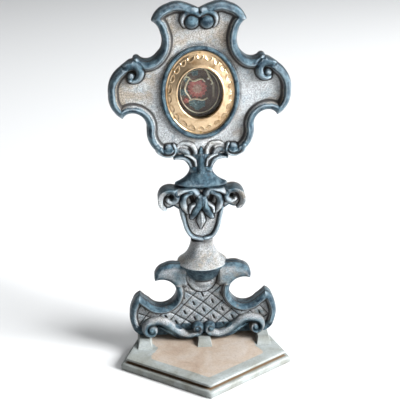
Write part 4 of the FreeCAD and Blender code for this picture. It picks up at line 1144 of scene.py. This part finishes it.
# Rosettes and sprigs as across, up, radius, petals, height, turn; ribbons as points across and up.
trimmings = {
    "rosette": [(discX, discZ, 8.6, 14, 1.6, 0.2), (discX - 9.4, discZ - 10.5, 2.6, 5, 1.2, 0)],
    "middle": [(discX, discZ, 4.6, 9, 1.5, 0.6)],
    "sprigs": [
        (-4, 259, 3.4, 5, 1.4, 0.3), (-13.4, 242, 3.4, 5, 1.4, 1.1), (-10.8, 252, 2.2, 5, 1.2, 0.7),
        (-5.5, 232.2, 3.8, 7, 1.4, 0.9), (1.2, 231.4, 4.0, 6, 1.4, 0.1), (-2, 228.6, 3.2, 8, 1.2, 0.5),
    ],
    "ribbons": {
        "top": [(-12.5, 253), (-10, 259.5), (-4.5, 262.6), (1.5, 263), (6.5, 260.6)],
        "fold": [(5.4, 262), (8, 256), (11, 249.6), (9.6, 248.2)],
        "left": [(-14.2, 255.6), (-8.5, 254.4), (-10.6, 250.4), (-12.4, 244), (-9.2, 238.4), (-7.4, 235.4)],
        "inner": [(-9, 254.4), (-5, 251.6), (1.2, 253.4), (4.8, 250.6)],
        "low": [(-9.4, 234.4), (-4, 236), (2.4, 234.8), (6.8, 236.6)],
    },
    "ribbonWidth": 0.8,
    "ring": (16.6, 18.924),
    "ringWidth": 0.42,
}
rose = waxFinish("dustyRose", (0.52, 0.17, 0.15, 1), (0.26, 0.07, 0.06, 1), 0.5)
discPiece = rosettes("relicRosette", trimmings["rosette"], discHigh[1], rose)
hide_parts("relic_disc")
paleWax = waxFinish("paleWax", (0.50, 0.34, 0.27, 1), (0.28, 0.15, 0.12, 1), 0.5)
middlePiece = rosettes("relicMiddle", trimmings["middle"], discHigh[1] - 0.9, paleWax)
teal = fibreFinish("blueSilk", (0.03, 0.085, 0.11, 1), (0.17, 0.27, 0.29, 1))
sprigPiece = rosettes("silkSprigs", trimmings["sprigs"], nodeBox("silk_sprigs")[1][1], teal)
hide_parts("silk_sprigs")
gilt = brassFinish("giltPaper", (0.86, 0.80, 0.66, 1), (0.55, 0.45, 0.32, 1), 0.5, 300)
ribbonPaths = {label: smoothPath(line, 10) for label, line in trimmings["ribbons"].items()}
ringAngle = np.radians(np.linspace(80, 440, 90)[:-1])
ring = np.stack([np.cos(ringAngle), np.sin(ringAngle)], 1) * trimmings["ring"]
ribbonPaths["ring"] = ring + (0, windowZ - 0.4)
for label, path in ribbonPaths.items():
    wide = trimmings["ringWidth"] if label == "ring" else trimmings["ribbonWidth"]
    ribbon = sweptBand(f"giltRibbon.{label}", path, padLow[1] - 0.1, [wide * 0.6, wide, wide, wide * 0.6],
                       [1.6, 2.2, 2.2, 1.4], gilt, (0, 0), 10, 0.4)
    if label == "top":
        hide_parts("paper_filigree")
print("trimmings made")

pearl = brassFinish("pearl", (0.85, 0.84, 0.8, 1), (0.6, 0.6, 0.58, 1), 0.2, 300)
paper = waxFinish("paperStrip", (0.42, 0.36, 0.28, 1), (0.25, 0.2, 0.15, 1), 0.8)
thread = fibreFinish("redThread", (0.20, 0.02, 0.02, 1), (0.40, 0.05, 0.04, 1))
sealWax = waxFinish("sealWax", (0.40, 0.04, 0.03, 1), (0.20, 0.02, 0.015, 1))
# The solids that are shown as they are.
nodeFinish = {
    "foot_block_left": plinthPaint, "foot_block_center": plinthPaint, "foot_block_right": plinthPaint,
    "plinth_screws": steel, "stem_dowel": plainWood, "mat_pins": fittings, "front_glass": glass,
    "theca_case": fittings, "relic_bead": pearl, "label_strip": paper, "binding_thread": thread,
    "wax_seal": sealWax, "rear_door": plainWood, "door_knob": fittings, "hinge_leaf_board": fittings,
    "hinge_leaf_door": fittings, "hinge_pin": steel, "board_leaf_screws": fittings,
    "door_leaf_screws": fittings, "button_washer": fittings, "turn_button": fittings,
    "turn_button_screw": fittings,
}
for node, material in nodeFinish.items():
    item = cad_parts[node]
    if not item.material_slots:
        item.data.materials.append(material)
    for slotHere in item.material_slots:
        slotHere.material = material
print("solids finished")

studio = {
    "floorReach": 4.0,
    "floorColour": (0.62, 0.62, 0.62, 1),
    "floorRoughness": 0.9,
    "aim": (0, 0, 0.17),
    "lamps": {  # place, width and height, watts, colour
        "windowLight": ((2.2, -0.9, 1.35), (1.3, 1.5), 265, (0.97, 0.985, 1.0)),
        "frontFill": ((0.2, -2.4, 1.5), (0.9, 0.9), 8, (1.0, 0.97, 0.93)),
        "skyLight": ((0.2, 0.9, 2.4), (1.6, 1.6), 36, (0.95, 0.98, 1)),
    },
    "shed": 0.09,  # how strongly the background lights the object
    "seen": 0.31,  # how much lighter than that it is to look at, past the floor's edge
}
reach = studio["floorReach"]
floorMesh = bpy.data.meshes.new("floor")
floorMesh.from_pydata([(-reach, -reach, 0), (reach, -reach, 0), (reach, reach, 0), (-reach, reach, 0)], [],
                      [(0, 1, 2, 3)])
floor = bpy.data.objects.new("floor", floorMesh)
bpy.context.scene.collection.objects.link(floor)
floorFinish = Finish("paleFloor")
floorFinish.set("Base Color", studio["floorColour"])
floorFinish.set("Roughness", studio["floorRoughness"])
floorMesh.materials.append(floorFinish.material)

for name, (place, size, power, colour) in studio["lamps"].items():
    data = bpy.data.lights.new(name, "AREA")
    data.shape = "RECTANGLE"
    data.size, data.size_y = size
    data.energy = power
    data.color = colour
    lamp = bpy.data.objects.new(name, data)
    bpy.context.scene.collection.objects.link(lamp)
    facing = (Vector(place) - Vector(studio["aim"])).to_track_quat("Z", "Y").to_matrix().to_4x4()
    lamp.matrix_world = Matrix.Translation(place) @ facing

world = bpy.data.worlds.new("studio")
bpy.context.scene.world = world
world.use_nodes = True
backdrop = world.node_tree.nodes["Background"]
backdrop.inputs["Color"].default_value = (1.0, 1.0, 1.0, 1)
strength = world.node_tree.nodes.new("ShaderNodeMath")
strength.operation = "MULTIPLY_ADD"
strength.inputs[1].default_value = studio["seen"]
strength.inputs[2].default_value = studio["shed"]
rayKind = world.node_tree.nodes.new("ShaderNodeLightPath")
world.node_tree.links.new(rayKind.outputs["Is Camera Ray"], strength.inputs[0])
world.node_tree.links.new(strength.outputs[0], backdrop.inputs["Strength"])

camera = {
    "azimuth": -3.48,
    "elevation": 21.27,
    "roll": -0.82,
    "distance": 0.8853,
    "lens": 90.0,
    "target": (-0.00099, axisY * mm, 0.1435),
}
data = bpy.data.cameras.new("camera")
data.lens = camera["lens"]
data.sensor_width = 36.0
data.clip_start = 0.02
eye = bpy.data.objects.new("camera", data)
bpy.context.scene.collection.objects.link(eye)
az, el = radians(camera["azimuth"]), radians(camera["elevation"])
backward = Vector((sin(az) * cos(el), -cos(az) * cos(el), sin(el)))
rightward = Vector((0, 0, 1)).cross(backward).normalized()
upward = backward.cross(rightward)
turn = Matrix((rightward, upward, backward)).transposed().to_4x4()
turn = turn @ Matrix.Rotation(radians(camera["roll"]), 4, "Z")
eye.matrix_world = Matrix.Translation(Vector(camera["target"]) + backward * camera["distance"]) @ turn
bpy.context.scene.camera = eye
bpy.context.scene.view_settings.view_transform = "Standard"
print("camera and light set")
